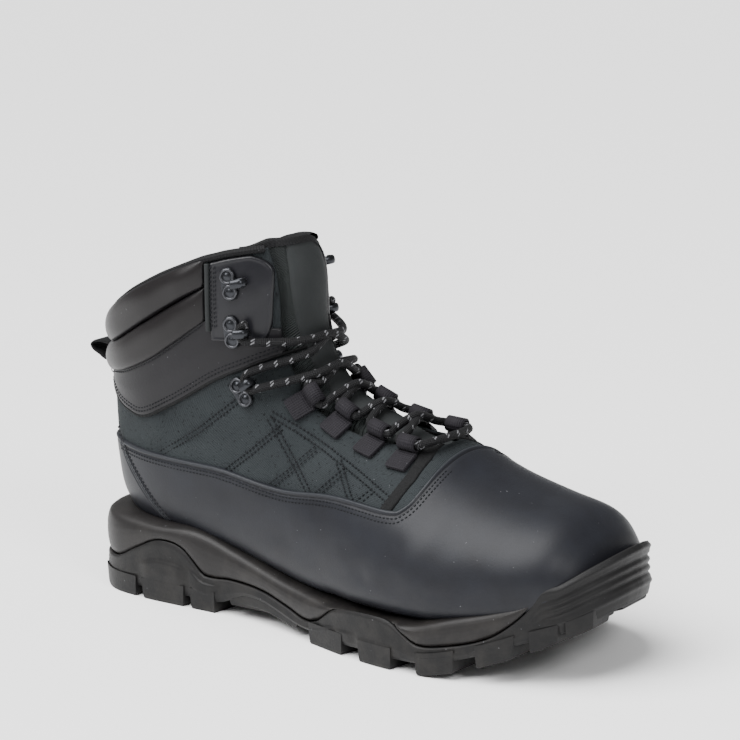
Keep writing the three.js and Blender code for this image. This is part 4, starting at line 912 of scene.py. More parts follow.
def swept(path, radius, sides, scale_y=1.0):
    """Round tube along a path: rings in planes that are carried along it without twist, closed at both ends."""
    tangent = unit(np.gradient(path, axis=0))
    normal = np.zeros_like(path)
    start = np.cross(tangent[0], [0.0, 0.0, 1.0])
    if np.linalg.norm(start) < 0.1:
        start = np.cross(tangent[0], [0.0, 1.0, 0.0])
    normal[0] = unit(start)
    for i in range(1, len(path)):
        normal[i] = unit(normal[i - 1] - tangent[i] * (normal[i - 1] @ tangent[i]))
    binormal = np.cross(tangent, normal)
    angle = np.linspace(0, 2 * np.pi, sides + 1)
    rings = (path[:, None] + radius * (np.cos(angle)[None, :, None] * normal[:, None]
                                       + scale_y * np.sin(angle)[None, :, None] * binormal[:, None]))
    travel = np.concatenate([[0], np.cumsum(np.linalg.norm(np.diff(path, axis=0), axis=1))])
    uv = np.stack(np.broadcast_arrays(travel[:, None], np.linspace(0, 1, sides + 1)[None]), -1).reshape(-1, 2)
    spots, faces = net_of(np.arange(len(path)), np.arange(sides + 1))
    points = np.vstack([rings.reshape(-1, 3), path[:1], path[-1:]])
    count = len(path) * (sides + 1)
    i = np.arange(sides)
    last = count - sides - 1
    caps = np.vstack([np.stack([np.full(sides, count), i + 1, i], 1),
                      np.stack([np.full(sides, count + 1), last + i, last + i + 1], 1)])
    return points, np.vstack([faces, caps]), np.vstack([uv, uv[:1], uv[-1:]])


def lathe(profile, sides):
    """A profile of radius and height, turned about z, from the foot up to the middle of the top."""
    profile = np.array(profile, float)
    angle = np.linspace(0, 2 * np.pi, sides + 1)
    points = np.stack([profile[:, None, 0] * np.cos(angle), profile[:, None, 0] * np.sin(angle),
                       np.broadcast_to(profile[:, None, 1], (len(profile), sides + 1))], -1).reshape(-1, 3)
    _, faces = net_of(np.arange(len(profile)), np.arange(sides + 1))
    return points, faces


def slab(length, width, height, bevel, power, sides=40):
    """A plate with a rounded outline, rounded over at its upper edge."""
    angle = np.linspace(0, 2 * np.pi, sides + 1)
    cos, sin = np.cos(angle), np.sin(angle)
    ring = np.stack([np.sign(cos) * np.abs(cos) ** (2 / power), np.sign(sin) * np.abs(sin) ** (2 / power)], -1)
    half = np.array([length / 2, width / 2])
    levels = [(0.0, 0.0), (0.0, height - bevel), (0.3 * bevel, height - 0.3 * bevel), (bevel, height)]
    rings = [np.column_stack([ring * (half - inset), np.full(sides + 1, z)]) for inset, z in levels]
    rings.append(np.column_stack([ring * 0, np.full(sides + 1, height)]))
    _, faces = net_of(np.arange(len(rings)), np.arange(sides + 1))
    return np.vstack(rings), faces


def merged(parts):
    """Joins the points, faces, uv and material numbers of several parts."""
    points, faces, uv, index, start = [], [], [], [], 0
    for part in parts:
        points.append(part[0])
        faces.append(part[1] + start)
        uv.append(part[2] if len(part) > 2 and part[2] is not None else part[0][:, :2] / 100)
        index.append(np.full(len(part[1]), part[3] if len(part) > 3 else 0))
        start += len(part[0])
    return np.vstack(points), np.vstack(faces), np.vstack(uv), np.concatenate(index)


def spot_of(place, side):
    """Station and turn of a place given as shares in side view."""
    x = place[0] * BOOT_LENGTH
    station, turn = find_spot(x, seat(x) + place[1] * SHAFT_RISE, side)
    return float(station), float(turn)


def frame_at(place, side, out):
    """Centre and axes of a small part: along the throat, across it and off the face."""
    station, turn = spot_of(place, side)
    station, turn = np.array(station), np.array(turn)
    normal, advance = face_frame(station, turn)
    across = unit(np.cross(normal, advance))
    forward = unit(np.cross(across, normal))
    return skin(station, turn, np.array(out)), np.stack([forward, across, normal])


def placed(points, frame_):
    """Points of a small part moved to its frame."""
    centre, axes = frame_
    return centre + points @ axes


SLEEVE = LOOP_BORE / 2 + WEBBING
SLEEVE_ACROSS = LOOP_SIZE / 2 + SLEEVE - WEBBING
TAB_LIFT = FIT + 0.2
LACE_IN_HOOK = HOOK_PLATE / 2 + HOOK_WIRE / 2 + FIT + LACE_WIDTH / 2
HOOK_LIFT = FIT + 0.4


def make_loop(place, side, name):
    """A folded webbing tab: a plate on the facing and a sleeve for the lace along its inner edge."""
    tab = slab(LOOP_SIZE, LOOP_SIZE, WEBBING + 0.5, 0.5, power=9.0, sides=48)
    angle = np.linspace(0, 2 * np.pi, 25)
    half = LOOP_SIZE * 0.42
    profile = [(-half, SLEEVE - 0.9), (-half + 0.2, SLEEVE), (half - 0.2, SLEEVE), (half, SLEEVE - 0.9),
               (half - 0.2, LOOP_BORE / 2), (-half + 0.2, LOOP_BORE / 2), (-half, SLEEVE - 0.9)]
    profile = np.array(profile)
    ring = np.stack([np.broadcast_to(profile[:, None, 0], (7, 25)),
                     side * SLEEVE_ACROSS + profile[:, None, 1] * np.cos(angle) * side,
                     SLEEVE + profile[:, None, 1] * np.sin(angle)], -1).reshape(-1, 3)
    faces = net_of(np.arange(7), np.arange(25))[1]
    points, faces, uv, _ = merged([tab, (ring, faces if side > 0 else faces[:, ::-1])])
    piece = put(name, placed(points, frame_at(place, side, TAB_LIFT)), faces, [TAB_TAPE], uv=uv)
    dressed(piece, "tape", name)


def make_hook(place, side, under, name):
    """A plate with two ring rivets and an open hook of wire that faces the throat."""
    plate = slab(RIVET * 2.3, RIVET * 1.15, HOOK_PLATE, 0.4, power=3.0)
    parts = [plate]
    for end in (-1, 1):
        rim_points, rim_faces = lathe([(3.9, 0.4), (4.0, 1.2), (3.7, 1.8), (3.2, 2.0), (2.7, 1.8), (2.5, 1.2)], 28)
        core_points, core_faces = lathe([(2.6, 1.15), (2.0, 1.2), (1.4, 1.55), (0.6, 1.75), (0.0, 1.78)], 28)
        offset = np.array([end * RIVET * 0.56, 0, 0])
        parts += [(rim_points + offset, rim_faces, None, 1), (core_points + offset, core_faces)]
    top = LACE_IN_HOOK + LACE_WIDTH / 2 + FIT + HOOK_WIRE / 2
    middle = HOOK_PLATE / 2
    bend = [(0.25, middle), (0.6, middle), (0.85, middle + 0.3), (1.0, (middle + top) / 2), (0.9, top - 0.4),
            (0.65, top), (0.38, top - 0.1)]
    wire = np.array([(0, side * across * HOOK_REACH, up) for across, up in bend])
    parts.append(swept(catmull(wire, 40), HOOK_WIRE, 14, 0.5) + (0,))
    points, faces, uv, index = merged(parts)
    piece = put(name, placed(points, frame_at(place, side, under + HOOK_LIFT)), faces, [METAL, RIM_METAL], uv=uv,
                material_index=index)
    dressed(piece, "metal", name)


def catmull(points, count):
    """Centripetal curve through points, read at even steps of its parameter."""
    points = np.asarray(points, float)
    ends = np.vstack([2 * points[0] - points[1], points, 2 * points[-1] - points[-2]])
    share = np.linspace(0, len(points) - 1, count)
    i = np.minimum(share.astype(int), len(points) - 2)
    t = (share - i)[:, None]
    p0, p1, p2, p3 = ends[i], ends[i + 1], ends[i + 2], ends[i + 3]
    d0, d1, d2 = (np.maximum(np.linalg.norm(b - a, axis=1, keepdims=True), 1e-4) ** 0.5
                  for a, b in ((p0, p1), (p1, p2), (p2, p3)))
    m1 = ((p1 - p0) / d0 - (p2 - p0) / (d0 + d1) + (p2 - p1) / d1) * d1
    m2 = ((p2 - p1) / d1 - (p3 - p1) / (d1 + d2) + (p3 - p2) / d2) * d1
    return ((2 * t**3 - 3 * t**2 + 1) * p1 + (t**3 - 2 * t**2 + t) * m1
            + (3 * t**2 - 2 * t**3) * p2 + (t**3 - t**2) * m2)


def throat_station(place):
    """Station whose top point lies nearest to a place."""
    stations = np.arange(TONGUE_START, LAST, 0.1)
    top = section_point(stations, 0 * stations + np.pi)
    return float(stations[np.hypot(top[:, 0] - place[0], top[:, 2] - place[2]).argmin()])


def lace_stop(place, side, wrap, lift, rise=0.0):
    """Throat station, points round one loop or hook, and the rise beyond it."""
    centre, axes = frame_at(place, side, lift)
    points = [centre + axes[0] * ahead + axes[1] * side * over for ahead, over in wrap]
    return throat_station(centre), points, rise


def lace_stops(side):
    """Stops of the lace on one side, from the toe up."""
    through = [(share * LOOP_SIZE, SLEEVE_ACROSS) for share in (-0.5, 0.5)]
    turn = HOOK_WIRE / 2 + LACE_WIDTH / 2 + FIT + LACE_REST
    half = [(turn * math.sin(share * math.pi), HOOK_REACH - turn * math.cos(share * math.pi))
            for share in (-0.5, -0.25, 0, 0.25, 0.5)]
    return [*(lace_stop(place, side, through, TAB_LIFT + SLEEVE) for place in LOOP_SPOTS),
            lace_stop(ANKLE_SPOT, side, half, HOOK_LIFT + LACE_IN_HOOK, HOOK_RISE),
            lace_stop(HOOK_SPOTS[0], side, half, FLAP + HOOK_LIFT + LACE_IN_HOOK, HOOK_RISE)]


def over_tongue(station, across, lift):
    """Point of the lace over the tongue's crown."""
    crown = TONGUE_CROWN * (1.0 if across == 0 else 0.6)
    out = crown + FIT + LACE_WIDTH / 2 + LACE_REST + lift
    return skin(np.array(station), turn_across(station, across), np.array(out))


def make_lace():
    """Two strands that cross over the tongue, through the loops and round the hooks, and a bar at the bottom."""
    reach = 0.65 * THROAT_HALF
    sides = [lace_stops(-1), lace_stops(1)]
    parts = []
    for first in (0, 1):
        points = []
        for level in range(len(sides[0])):
            from_side = (first + level) % 2
            station, stop, rise = sides[from_side][level]
            points += stop
            if level + 1 < len(sides[0]):
                next_station, _, next_rise = sides[1 - from_side][level + 1]
                lift = 0.4 * LACE_WIDTH if from_side else 0.0
                sign = 1 if from_side else -1
                for share, across, up in ((0.34, sign * reach, rise), (0.5, 0, lift), (0.66, -sign * reach, next_rise)):
                    points.append(over_tongue(station + (next_station - station) * share, across, up))
        parts.append(swept(catmull(np.array(points), 900), LACE_WIDTH / 2, 14))
    low = sides[0][0][0] - 0.35
    bar = [sides[0][0][1][0], over_tongue(low, -reach, 0), over_tongue(low, reach, 0), sides[1][0][1][0]]
    parts.append(swept(catmull(np.array(bar), 120), LACE_WIDTH / 2, 14))
    points, faces, uv, _ = merged(parts)
    dressed(put("lace", points, faces, [LACE], uv=uv), "cord", "lace")


PULL_BACK, PULL_LEVEL, PULL_REACH, PULL_HEIGHT = -4.8, 0.565, 13.2, 12.0


def make_pull_loop():
    """Webbing folded into a loop behind the collar: a rounded strip carried along the fold."""
    middle = float(seat(0.0)) + PULL_LEVEL * SHAFT_RISE
    path = catmull(np.column_stack([PULL_BACK - PULL_LOOP[:, 0] * PULL_REACH, np.zeros(8),
                                    middle + PULL_LOOP[:, 1] * PULL_HEIGHT]), 70)
    tangent = unit(np.gradient(path, axis=0))
    normal = np.stack([-tangent[:, 2], 0 * tangent[:, 0], tangent[:, 0]], -1)
    section = np.array([(-6.0, 0.0), (-5.8, 0.5), (-5.2, 0.65), (5.2, 0.65), (5.8, 0.5), (6.0, 0.0), (5.8, -0.5),
                        (5.2, -0.65), (-5.2, -0.65), (-5.8, -0.5), (-6.0, 0.0)])
    rings = (path[:, None] + section[None, :, 1, None] * normal[:, None]
             + section[None, :, 0, None] * np.array([0.0, 1.0, 0.0]))
    _, faces = net_of(np.arange(70), np.arange(11))
    uv = np.stack(np.broadcast_arrays(np.linspace(0, 0.4, 70)[:, None], np.linspace(0, 0.24, 11)[None]), -1)
    dressed(put("pull_loop", rings.reshape(-1, 3), faces, [TAPE], uv=uv.reshape(-1, 2)), "tape", "pull_loop")


def crossing(line, lift, turn):
    """Station at which a turn meets a seam moved up by a lift."""
    points = seam_points(line, 0.1)
    low, high = np.full(turn.shape, 11.0), np.full(turn.shape, LAST)
    for _ in range(30):
        station = (low + high) / 2
        face = section_point(station, turn)
        below = face[:, 2] < np.interp(face[:, 0], points[:, 0], points[:, 1]) + lift
        low, high = np.where(below, station, low), np.where(below, high, station)
    return (low + high) / 2


def make_collar_binding():
    """A folded tape over the collar's edge, drawn as a rounded section carried round the collar."""
    end = float(turn_across(LAST - 1, -THROAT_HALF - 1.5))
    turn = np.linspace(-end, end, 180)
    section = [(-2.2, 0.35), (-2.0, 1.3), (-0.6, 1.7), (0.6, 1.3), (1.4, 0.0), (1.5, -1.0), (1.2, -2.2), (0.4, -3.2),
               (-0.8, -3.6), (-2.0, -3.3), (-2.2, -2.4)]
    rings = np.stack([skin(crossing(COLLAR_LINE, lift, turn), turn, np.full(turn.shape, out)) for lift, out in section],
                     axis=1)
    _, faces = net_of(np.arange(180), np.arange(len(section)))
    uv = np.stack(np.broadcast_arrays(np.linspace(0, 2.4, 180)[:, None], np.linspace(0, 0.1, len(section))[None]), -1)
    piece = put("collar_binding", rings.reshape(-1, 3), faces[:, ::-1], [TAPE], uv=uv.reshape(-1, 2))
    dressed(piece, "tape", "collar_binding")


DEPTH, ACROSS, TOP, SIDE = range(2, 6)


def tongue_net():
    """Tongue: sunk under the facings, raised as a half ellipse between them; with both edge distances."""
    stations = np.arange(TONGUE_START, LAST + 1.0, 0.12)
    spots, faces = net_of(stations, np.linspace(-1, 1, 71))
    station, share = spots[:, 0], spots[:, 1]
    half = THROAT_HALF + TONGUE_OVERLAP * np.minimum(1, (station - TONGUE_START) / 2)
    across = share * half
    opened = np.clip((station - THROAT_START - 0.5) / 1.2, 0, 1)
    under = -UPPER_WALL - FIT - SLACK
    crown = np.sqrt(np.maximum(0, 1 - (across / (throat_width(station) - 2 + 1e-6)) ** 2))
    crown = np.where(station < THROAT_START + 0.5, 0, crown)
    out = under + opened * crown * (TONGUE_CROWN - under)
    turn = turn_across(station, np.where(np.abs(across) < 1e-6, 1e-6, across))
    face = section_point(station, turn)
    top = under_line(TONGUE_LINE, face[:, 0], face[:, 2]) - 8.5 * smooth(across, 0, 18)
    top -= 3.5 * smooth(-across, 17, 27)
    edge = np.minimum(half - np.abs(across), (station - TONGUE_START) * 18)
    return np.column_stack([station, turn, out, across, top, edge]), faces


def tongue_piece(name, spots, faces, extra, radius, materials, index, slot):
    """Front and back of the tongue, drawn together round its edge."""
    edge = np.minimum(spots[:, TOP], spots[:, SIDE])
    middle = spots[:, DEPTH] - TONGUE_THICKNESS / 2
    half = (TONGUE_THICKNESS / 2 + extra) * rolled(edge, radius)
    front, rear = (skin(spots[:, STATION], spots[:, TURN], middle + sign * half) for sign in (1, -1))
    uv = np.tile(np.column_stack([spots[:, ACROSS] / 100, spots[:, STATION] * 0.12]), (2, 1))
    piece = put(name, np.vstack([front, rear]), np.vstack([faces, faces[:, ::-1] + len(spots)]), materials, uv=uv,
                material_index=np.concatenate([index, np.full(len(faces), len(materials) - 1)]))
    return dressed(piece, slot, name)


def make_tongue():
    """Tongue with two seams that bow apart as half a sine, and the tape over its top."""
    def seam_of(body):
        return 9.0 + 4.5 * np.sin(np.clip((body[:, STATION] - 10) / 8, 0, 1) * np.pi)

    spots, faces = tongue_net()
    body, body_faces = cut(spots, faces, spots[:, TOP] - 2.0)
    body, body_faces = cut(body, body_faces, np.abs(body[:, ACROSS]) - seam_of(body), both=True)
    past_seam = np.abs(body[:, ACROSS]) - seam_of(body)
    body[:, DEPTH] -= 0.7 * np.exp(-((past_seam / 0.7) ** 2))
    body[:, TOP] += 4
    tongue = tongue_piece("tongue", body, body_faces, 0.0, 2.0, [TONGUE_FACE, GUSSET, LINING],
                          (past_seam[body_faces].mean(1) > 0).astype(int), "lining")
    strip = cut(spots, faces, spots[:, TOP])
    strip = cut(*strip, 4.2 - strip[0][:, TOP])
    strip = sliced(*strip, TOP, (0.3, 0.8, 1.5))
    tongue_piece("tongue_binding", *strip, 0.5, 1.6, [TAPE], np.zeros(len(strip[1]), int), "tape")


# The sole

RING_STEP = 0.1


def ring_stops():
    """Points, outward normals and sides of the sole's outline."""
    rows = np.arange(0, len(OUTLINE) - 1 + RING_STEP / 2, RING_STEP)
    side = np.concatenate([np.full(len(rows), -1.0), np.full(len(rows) - 2, 1.0)])
    rows = np.concatenate([rows, rows[1:-1][::-1]])
    keys = np.arange(len(OUTLINE), dtype=float)

    def spot(row, side):
        width = np.where(side < 0, -along(keys, OUTLINE[:, 1], row), along(keys, OUTLINE[:, 2], row))
        return np.stack([along(keys, OUTLINE[:, 0], row) * BOOT_LENGTH, width * BALL_WIDTH], -1)

    run = spot(np.minimum(rows + 0.05, keys[-1]), side) - spot(np.maximum(rows - 0.05, 0), side)
    normal = unit(np.stack([-side * run[:, 1], side * run[:, 0]], -1))
    normal[0] = (-1, 0)
    normal[np.argmax(rows)] = (1, 0)
    return spot(rows, side), normal, side


def sole_rings(levels):
    """Rings of the outline, each pushed out and set at a height, closed across the bottom and the top."""
    spots, normal, _ = ring_stops()
    count = len(spots)
    rings = []
    for level in levels:
        out, z = level(spots[:, 0])
        rings.append(np.column_stack([spots + normal * out[:, None], z]))
    index = np.arange(count + 1) % count
    row = np.arange(len(rings))[:, None] * count
    p, q = (row + index[:-1])[:-1], (row + index[1:])[:-1]
    walls = np.stack([p, q, q + count, p + count], -1).reshape(-1, 4)
    last = count // 2
    i = np.arange(last)
    over, after = (count - i) % count, count - i - 1
    floor = np.stack([i + 1, i, over, after], -1)
    top = (len(rings) - 1) * count
    roof = np.stack([top + i, top + i + 1, top + after, top + over], -1)
    return np.vstack(rings), np.vstack([walls, floor, roof])


def smooth_block(value, low, high, soft):
    """One between two values, with S-shaped ends."""
    return smooth(value, low - soft, low + soft) * (1 - smooth(value, high - soft, high + soft))


def outsole_wall(x, h):
    """How far the rubber's side stands out at a share of its height: foot, ledge, ribs, blocks and a rolled rim."""
    share = x / BOOT_LENGTH
    base = np.interp(h, [0, 0.12, 0.36, 0.58, 0.80, 0.93, 1.0], [-0.5, -0.17, 0.0, -0.08, -0.17, -0.2, -0.55])
    toe = smooth(share, 0.90, 0.95)
    heel = 0.5 * (1 - smooth(share, 0.02, 0.06))
    ribs = sum(np.exp(-(((h - middle) / 0.035) ** 2)) for middle in (0.42, 0.58, 0.74))
    ledge = 0.9 * toe * np.exp(-(((h - 0.26) / 0.05) ** 2)) + 0.8 * toe * np.exp(-(((h - 0.92) / 0.05) ** 2))
    blocks = sum(out * smooth_block(share, back, front, 0.003) * (1 - smooth(np.asarray(h) * np.ones_like(x),
                                                                             top - 0.05, top + 0.03))
                 for back, front, top, out in SIDE_BLOCKS)
    return base * RUBBER_WALL - 1.1 * np.maximum(toe, heel) * ribs + ledge + blocks


def make_outsole():
    """Rubber: the outline pushed out by the side's profile, from the lugs' root up to the rim."""
    heights = np.unique(np.concatenate([np.linspace(0, 1, 34), [0.97, 0.985]]))
    levels = [lambda x: (np.full(x.shape, -RUBBER_WALL), tread_base(x))]
    for h in heights:
        levels.append(lambda x, h=h: (outsole_wall(x, h), tread_base(x) + h * (rim(x) - tread_base(x))))
    for inset, drop in ((0.6, 0.4), (1.0, 3.0)):
        levels.append(lambda x, inset=inset, drop=drop: (np.full(x.shape, -RUBBER_WALL - inset), rim(x) - drop))
    points, faces = sole_rings(levels)
    dressed(put("outsole", points, faces, [RUBBER], weld=False), "rubber", "outsole")


def make_midsole():
    """Foam over the rim: a rounded profile that bulges over the rubber where there is room."""
    def bulge(x):
        return np.clip((midsole_top(x) - rim(x) - FIT) / RUBBER_WALL, 0, 1)

    def over_rim(x):
        return np.minimum(rim(x) + FIT, midsole_top(x) - FIT)

    inset = RUBBER_WALL + FIT
    profile_h = np.array([0, 0.04, 0.12, 0.3, 0.5, 0.7, 0.85, 0.95, 1.0])
    profile_out = np.array([-1.1, -0.7, -0.42, -0.22, -0.18, -0.3, -0.62, -1.0, -1.6])
    levels = [lambda x: (np.full(x.shape, -inset - 1.0), over_rim(x) - 2.0)]
    for h in np.linspace(0, 1, 22):
        out = float(np.interp(h, profile_h, profile_out))
        levels.append(lambda x, h=h, out=out: (-inset + (inset + out * RUBBER_WALL) * bulge(x),
                                               over_rim(x) + h * (midsole_top(x) - over_rim(x))))
    for out, rise in ((-5.2, 0.5), (-8.0, 1.0), (-13.0, 1.0)):
        levels.append(lambda x, out=out, rise=rise: (np.full(x.shape, out), midsole_top(x) + rise))
    points, faces = sole_rings(levels)
    dressed(put("midsole", points, faces, [FOAM], weld=False), "foam", "midsole")


def tread_spot(share, across):
    """Point on the ground at a share of the length and of the half width there."""
    keys = np.arange(len(OUTLINE), dtype=float)
    row = np.interp(share, along(keys, OUTLINE[:, 0], np.linspace(0, 18, 400)), np.linspace(0, 18, 400))
    column = 1 if across < 0 else 2
    width = along(keys, OUTLINE[:, column], np.array([row]))[0] * BALL_WIDTH
    return np.array([share * BOOT_LENGTH, across * width])


def edge_points(side, back, front, out):
    """Outline of the sole between two places on one side, moved out."""
    spots, normal, sides = ring_stops()
    own = (sides == side) & (spots[:, 0] > back * BOOT_LENGTH) & (spots[:, 0] < front * BOOT_LENGTH)
    order = np.argsort(spots[own, 0])
    inner = (spots[own] + normal[own] * out)[order]
    ends = []
    for share in (back, front):
        x = share * BOOT_LENGTH
        i = np.abs(np.where(sides == side, spots[:, 0] - x, 1e9)).argmin()
        ends.append([x, tread_spot(share, side)[1] + normal[i, 1] * out])
    return np.vstack([ends[0], inner, ends[1]])


def block(spots, depth, lift):
    """A tread block: its outline on the ground, drawn in and rounded towards its foot."""
    spots = np.array(spots)
    area = np.sum(spots[:, 0] * np.roll(spots[:, 1], -1) - np.roll(spots[:, 0], -1) * spots[:, 1])
    if area < 0:
        spots = spots[::-1]
    centre = spots.mean(0)
    rings = []
    for shrink, share in ((0.0, 1.0), (0.05, 0.16), (0.075, 0.05), (0.12, 0.0)):
        ring = spots + (centre - spots) * shrink
        x = ring[:, 0]
        foot = tread_base(x) - depth * (tread_base(x) - ground(x))
        rings.append(np.column_stack([ring, foot + share * (tread_base(x) + lift - foot)]))
    count = len(spots)
    middle = np.append(centre, rings[-1][:, 2].mean())
    points = np.vstack(rings + [middle])
    faces = []
    for k in range(3):
        for i in range(count):
            j = (i + 1) % count
            faces += [[k * count + i, k * count + j, (k + 1) * count + j],
                      [k * count + i, (k + 1) * count + j, (k + 1) * count + i]]
    faces += [[3 * count + i, 3 * count + (i + 1) % count, 4 * count] for i in range(count)]
    return points, np.array(faces)[:, ::-1]


def make_tread():
    """Lugs, bars, chevrons and studs."""
    parts = []
    for side, back, front, inner, lean, depth in EDGE_LUGS:
        outer = edge_points(side, back, front, -1.0 if depth < 1 else 0.7)
        spots = [*outer, tread_spot(front + lean, side * inner), tread_spot(back + lean, side * inner)]
        parts.append(block(spots, depth, 1.0 if depth < 1 else LUG_HEIGHT))
    lean = 0.012
    for back, front, inner, outer in SLANT_BARS:
        parts.append(block([tread_spot(back, inner - lean), tread_spot(front, inner + lean),
                            tread_spot(front, outer + lean), tread_spot(back, outer - lean)], 1, 1))
    for back, front, inner, outer in CHEVRONS:
        middle, arm = (back + front) / 2, 0.018
        for a, b, c, d in (((back, outer), (back + arm, outer), (middle, inner - 0.14), (middle - arm, inner)),
                           ((middle, inner - 0.14), (front - arm, outer), (front, outer), (middle + arm, inner)),
                           ((middle - arm, inner), (middle, inner - 0.14), (middle + 0.001, inner - 0.139),
                            (middle + arm, inner))):
            parts.append(block([tread_spot(*a), tread_spot(*b), tread_spot(*c), tread_spot(*d)], 1, 1))
    for row in range(3):
        for column in range(3):
            spot = tread_spot(0.885 + (row - 1) * 0.038 + (column - 1) * 0.006, 0.041 + (column - 1) * 0.21)
            parts.append(block([spot + np.array(corner) for corner in ((-3.5, -3.5), (3.5, -3.5), (3.5, 3.5),
                                                                       (-3.5, 3.5))], 1, 1))
    points, faces, _, _ = merged(parts)
    dressed(put("tread", points, faces, [RUBBER], flat=True), "rubber")


def make_insole():
    """A footbed as wide as the room over the sole, dished in the middle and raised round its edge."""
    x = np.linspace(0.055, 0.935, 90) * BOOT_LENGTH
    z = seat(x) + UPPER_WALL + FIT + 4.0
    edges = [skin(*find_spot(x, z, side), np.full(x.shape, -UPPER_WALL - 0.6))[:, 1] for side in (-1, 1)]
    share = np.linspace(0, 1, 33)
    y = edges[0][:, None] + (edges[1] - edges[0])[:, None] * share
    dish = 1.6 * np.abs(2 * share - 1) ** 3 - 1.0
    top = np.stack([np.broadcast_to(x[:, None], y.shape), y, z[:, None] + dish], -1).reshape(-1, 3)
    low = top - np.array([0, 0, 3.2])
    _, faces = net_of(np.arange(90), np.arange(33))
    rim_index = np.concatenate([np.arange(33), np.arange(1, 90) * 33 + 32, 89 * 33 + np.arange(31, -1, -1),
                                np.arange(88, 0, -1) * 33])
    after = np.roll(rim_index, -1)
    count = len(top)
    sides = np.vstack([np.stack([rim_index, after, after + count], 1), np.stack([rim_index, after + count,
                                                                                 rim_index + count], 1)])
    piece = put("insole", np.vstack([top, low]), np.vstack([faces[:, ::-1], faces + count, sides]), [LINING],
                uv=np.tile(top[:, :2] / 100, (2, 1)))
    dressed(piece, "lining", "insole")


# Stitches

STITCH_LENGTH = 1.5
FLAP_ROWS, FLAP_PIPING = (93.6, 95.4), 91.6


def stitches(name, paths, pitch, radius, slot):
    """Rows of short rounded dashes laid on the skin: each a small spindle along its row."""
    centres, tangents, normals = [], [], []
    for x, z, side, out in paths:
        station, turn = find_spot(x, z, side)
        points = skin(station, turn, np.full(np.shape(x), out))
        travel = np.concatenate([[0], np.cumsum(np.linalg.norm(np.diff(points, axis=0), axis=1))])
        if travel[-1] < pitch:
            continue
        marks = np.arange(pitch / 2, travel[-1], pitch)
        fine_station, fine_turn = np.interp(marks, travel, station), np.interp(marks, travel, turn)
        place = skin(fine_station, fine_turn, np.full(marks.shape, out))
        run = np.stack([np.interp(marks + 0.4, travel, points[:, k]) - np.interp(marks - 0.4, travel, points[:, k])
                        for k in range(3)], -1)
        centres.append(place)
        tangents.append(unit(run))
        normals.append(face_frame(fine_station, fine_turn)[0])
    centre, tangent, normal = map(np.vstack, (centres, tangents, normals))
    aside = np.cross(normal, tangent)
    angle = np.arange(6) * np.pi / 3
    rings = []
    for place, width in ((-0.5, 0.0), (-0.4, 0.7), (-0.15, 1.0), (0.15, 1.0), (0.4, 0.7), (0.5, 0.0)):
        rings.append(centre[:, None] + tangent[:, None] * place * STITCH_LENGTH
                     + width * radius * (np.cos(angle)[:, None] * aside[:, None]
                                         + 0.7 * np.sin(angle)[:, None] * normal[:, None]))
    points = np.stack(rings, 1)
    count = len(centre)
    k, i = np.meshgrid(np.arange(5), np.arange(6), indexing="ij")
    a, b = (k * 6 + i).ravel(), (k * 6 + (i + 1) % 6).ravel()
    unit_faces = np.stack([a, b, b + 6, a + 6], -1)
    faces = (unit_faces[None] + np.arange(count)[:, None, None] * 36).reshape(-1, 4)
    dressed(put(name, points.reshape(-1, 3), faces, [THREAD], weld=False), slot)


def seam_path(line, offset, from_x, to_x):
    """A seam in side view between two places, moved aside by an offset."""
    points = seam_points(line, 0.02)
    points = points[(points[:, 0] >= from_x) & (points[:, 0] <= to_x)]
    run = unit(np.gradient(points, axis=0))
    points = points + offset * np.stack([-run[:, 1], run[:, 0]], -1)
    return points[:, 0], points[:, 1]


def make_stitches():
    """Double rows along the quilting, the seams and the flaps."""
    quilted, edged = [], []
    for side in (-1, 1):
        for points in quilt_lines():
            step = np.linspace(0, len(points) - 1, 30)
            key = np.arange(len(points))
            quilted.append((np.interp(step, key, points[:, 0]), np.interp(step, key, points[:, 1]), side, 0.05))
        for offset in (-3.6, -5.4):
            edged.append((*seam_path(RAND_TOP, offset, 22, 0.6975 * BOOT_LENGTH), side, RAND + 0.1))
        for offset in (2.6, 4.4):
            edged.append((*seam_path(BAND_LOW, offset, 14, 0.43 * BOOT_LENGTH), side, BAND + 0.15))
        for offset in (1.4, 3.2):
            edged.append((*seam_path(COUNTER_SEAM, offset, 10, 60), side, RAND + 0.1))
        column = np.linspace(FLAP_SEAT + 0.745 * SHAFT_RISE, FLAP_SEAT + 0.94 * SHAFT_RISE, 40)
        for x in FLAP_ROWS:
            edged.append((np.full(40, x), column, side, FLAP + 0.25))
        edged.append((*seam_path(PAD_LOW, -0.6, 6, 88), side, BAND + 0.9))
    stitches("quilting_stitches", quilted, 2.3, 0.42, "textile")
    stitches("edge_stitches", edged, 2.2, 0.36, "nubuck")


def make_piping():
    """Rough dark piping along the ankle band's lower edge and slate piping behind each flap."""
    parts = []
    for side in (-1, 1):
        x, z = seam_path(BAND_LOW, 0.2, 10, 0.47 * BOOT_LENGTH)
        parts.append(swept(skin(*find_spot(x, z, side), np.full(x.shape, 0.5))[::3], 0.95, 8))
    points, faces, uv, _ = merged(parts)
    dressed(put("band_piping", points, faces, [PIPING], uv=uv), "band")
    parts = []
    for side in (-1, 1):
        z = np.linspace(FLAP_SEAT + 0.735 * SHAFT_RISE, FLAP_SEAT + 0.945 * SHAFT_RISE, 60)
        x = np.full(60, FLAP_PIPING)
        parts.append(swept(skin(*find_spot(x, z, side), np.full(60, 2.2)), 1.3, 10))
    points, faces, uv, _ = merged(parts)
    dressed(put("flap_piping", points, faces, [TONGUE_FACE], uv=uv), "band")


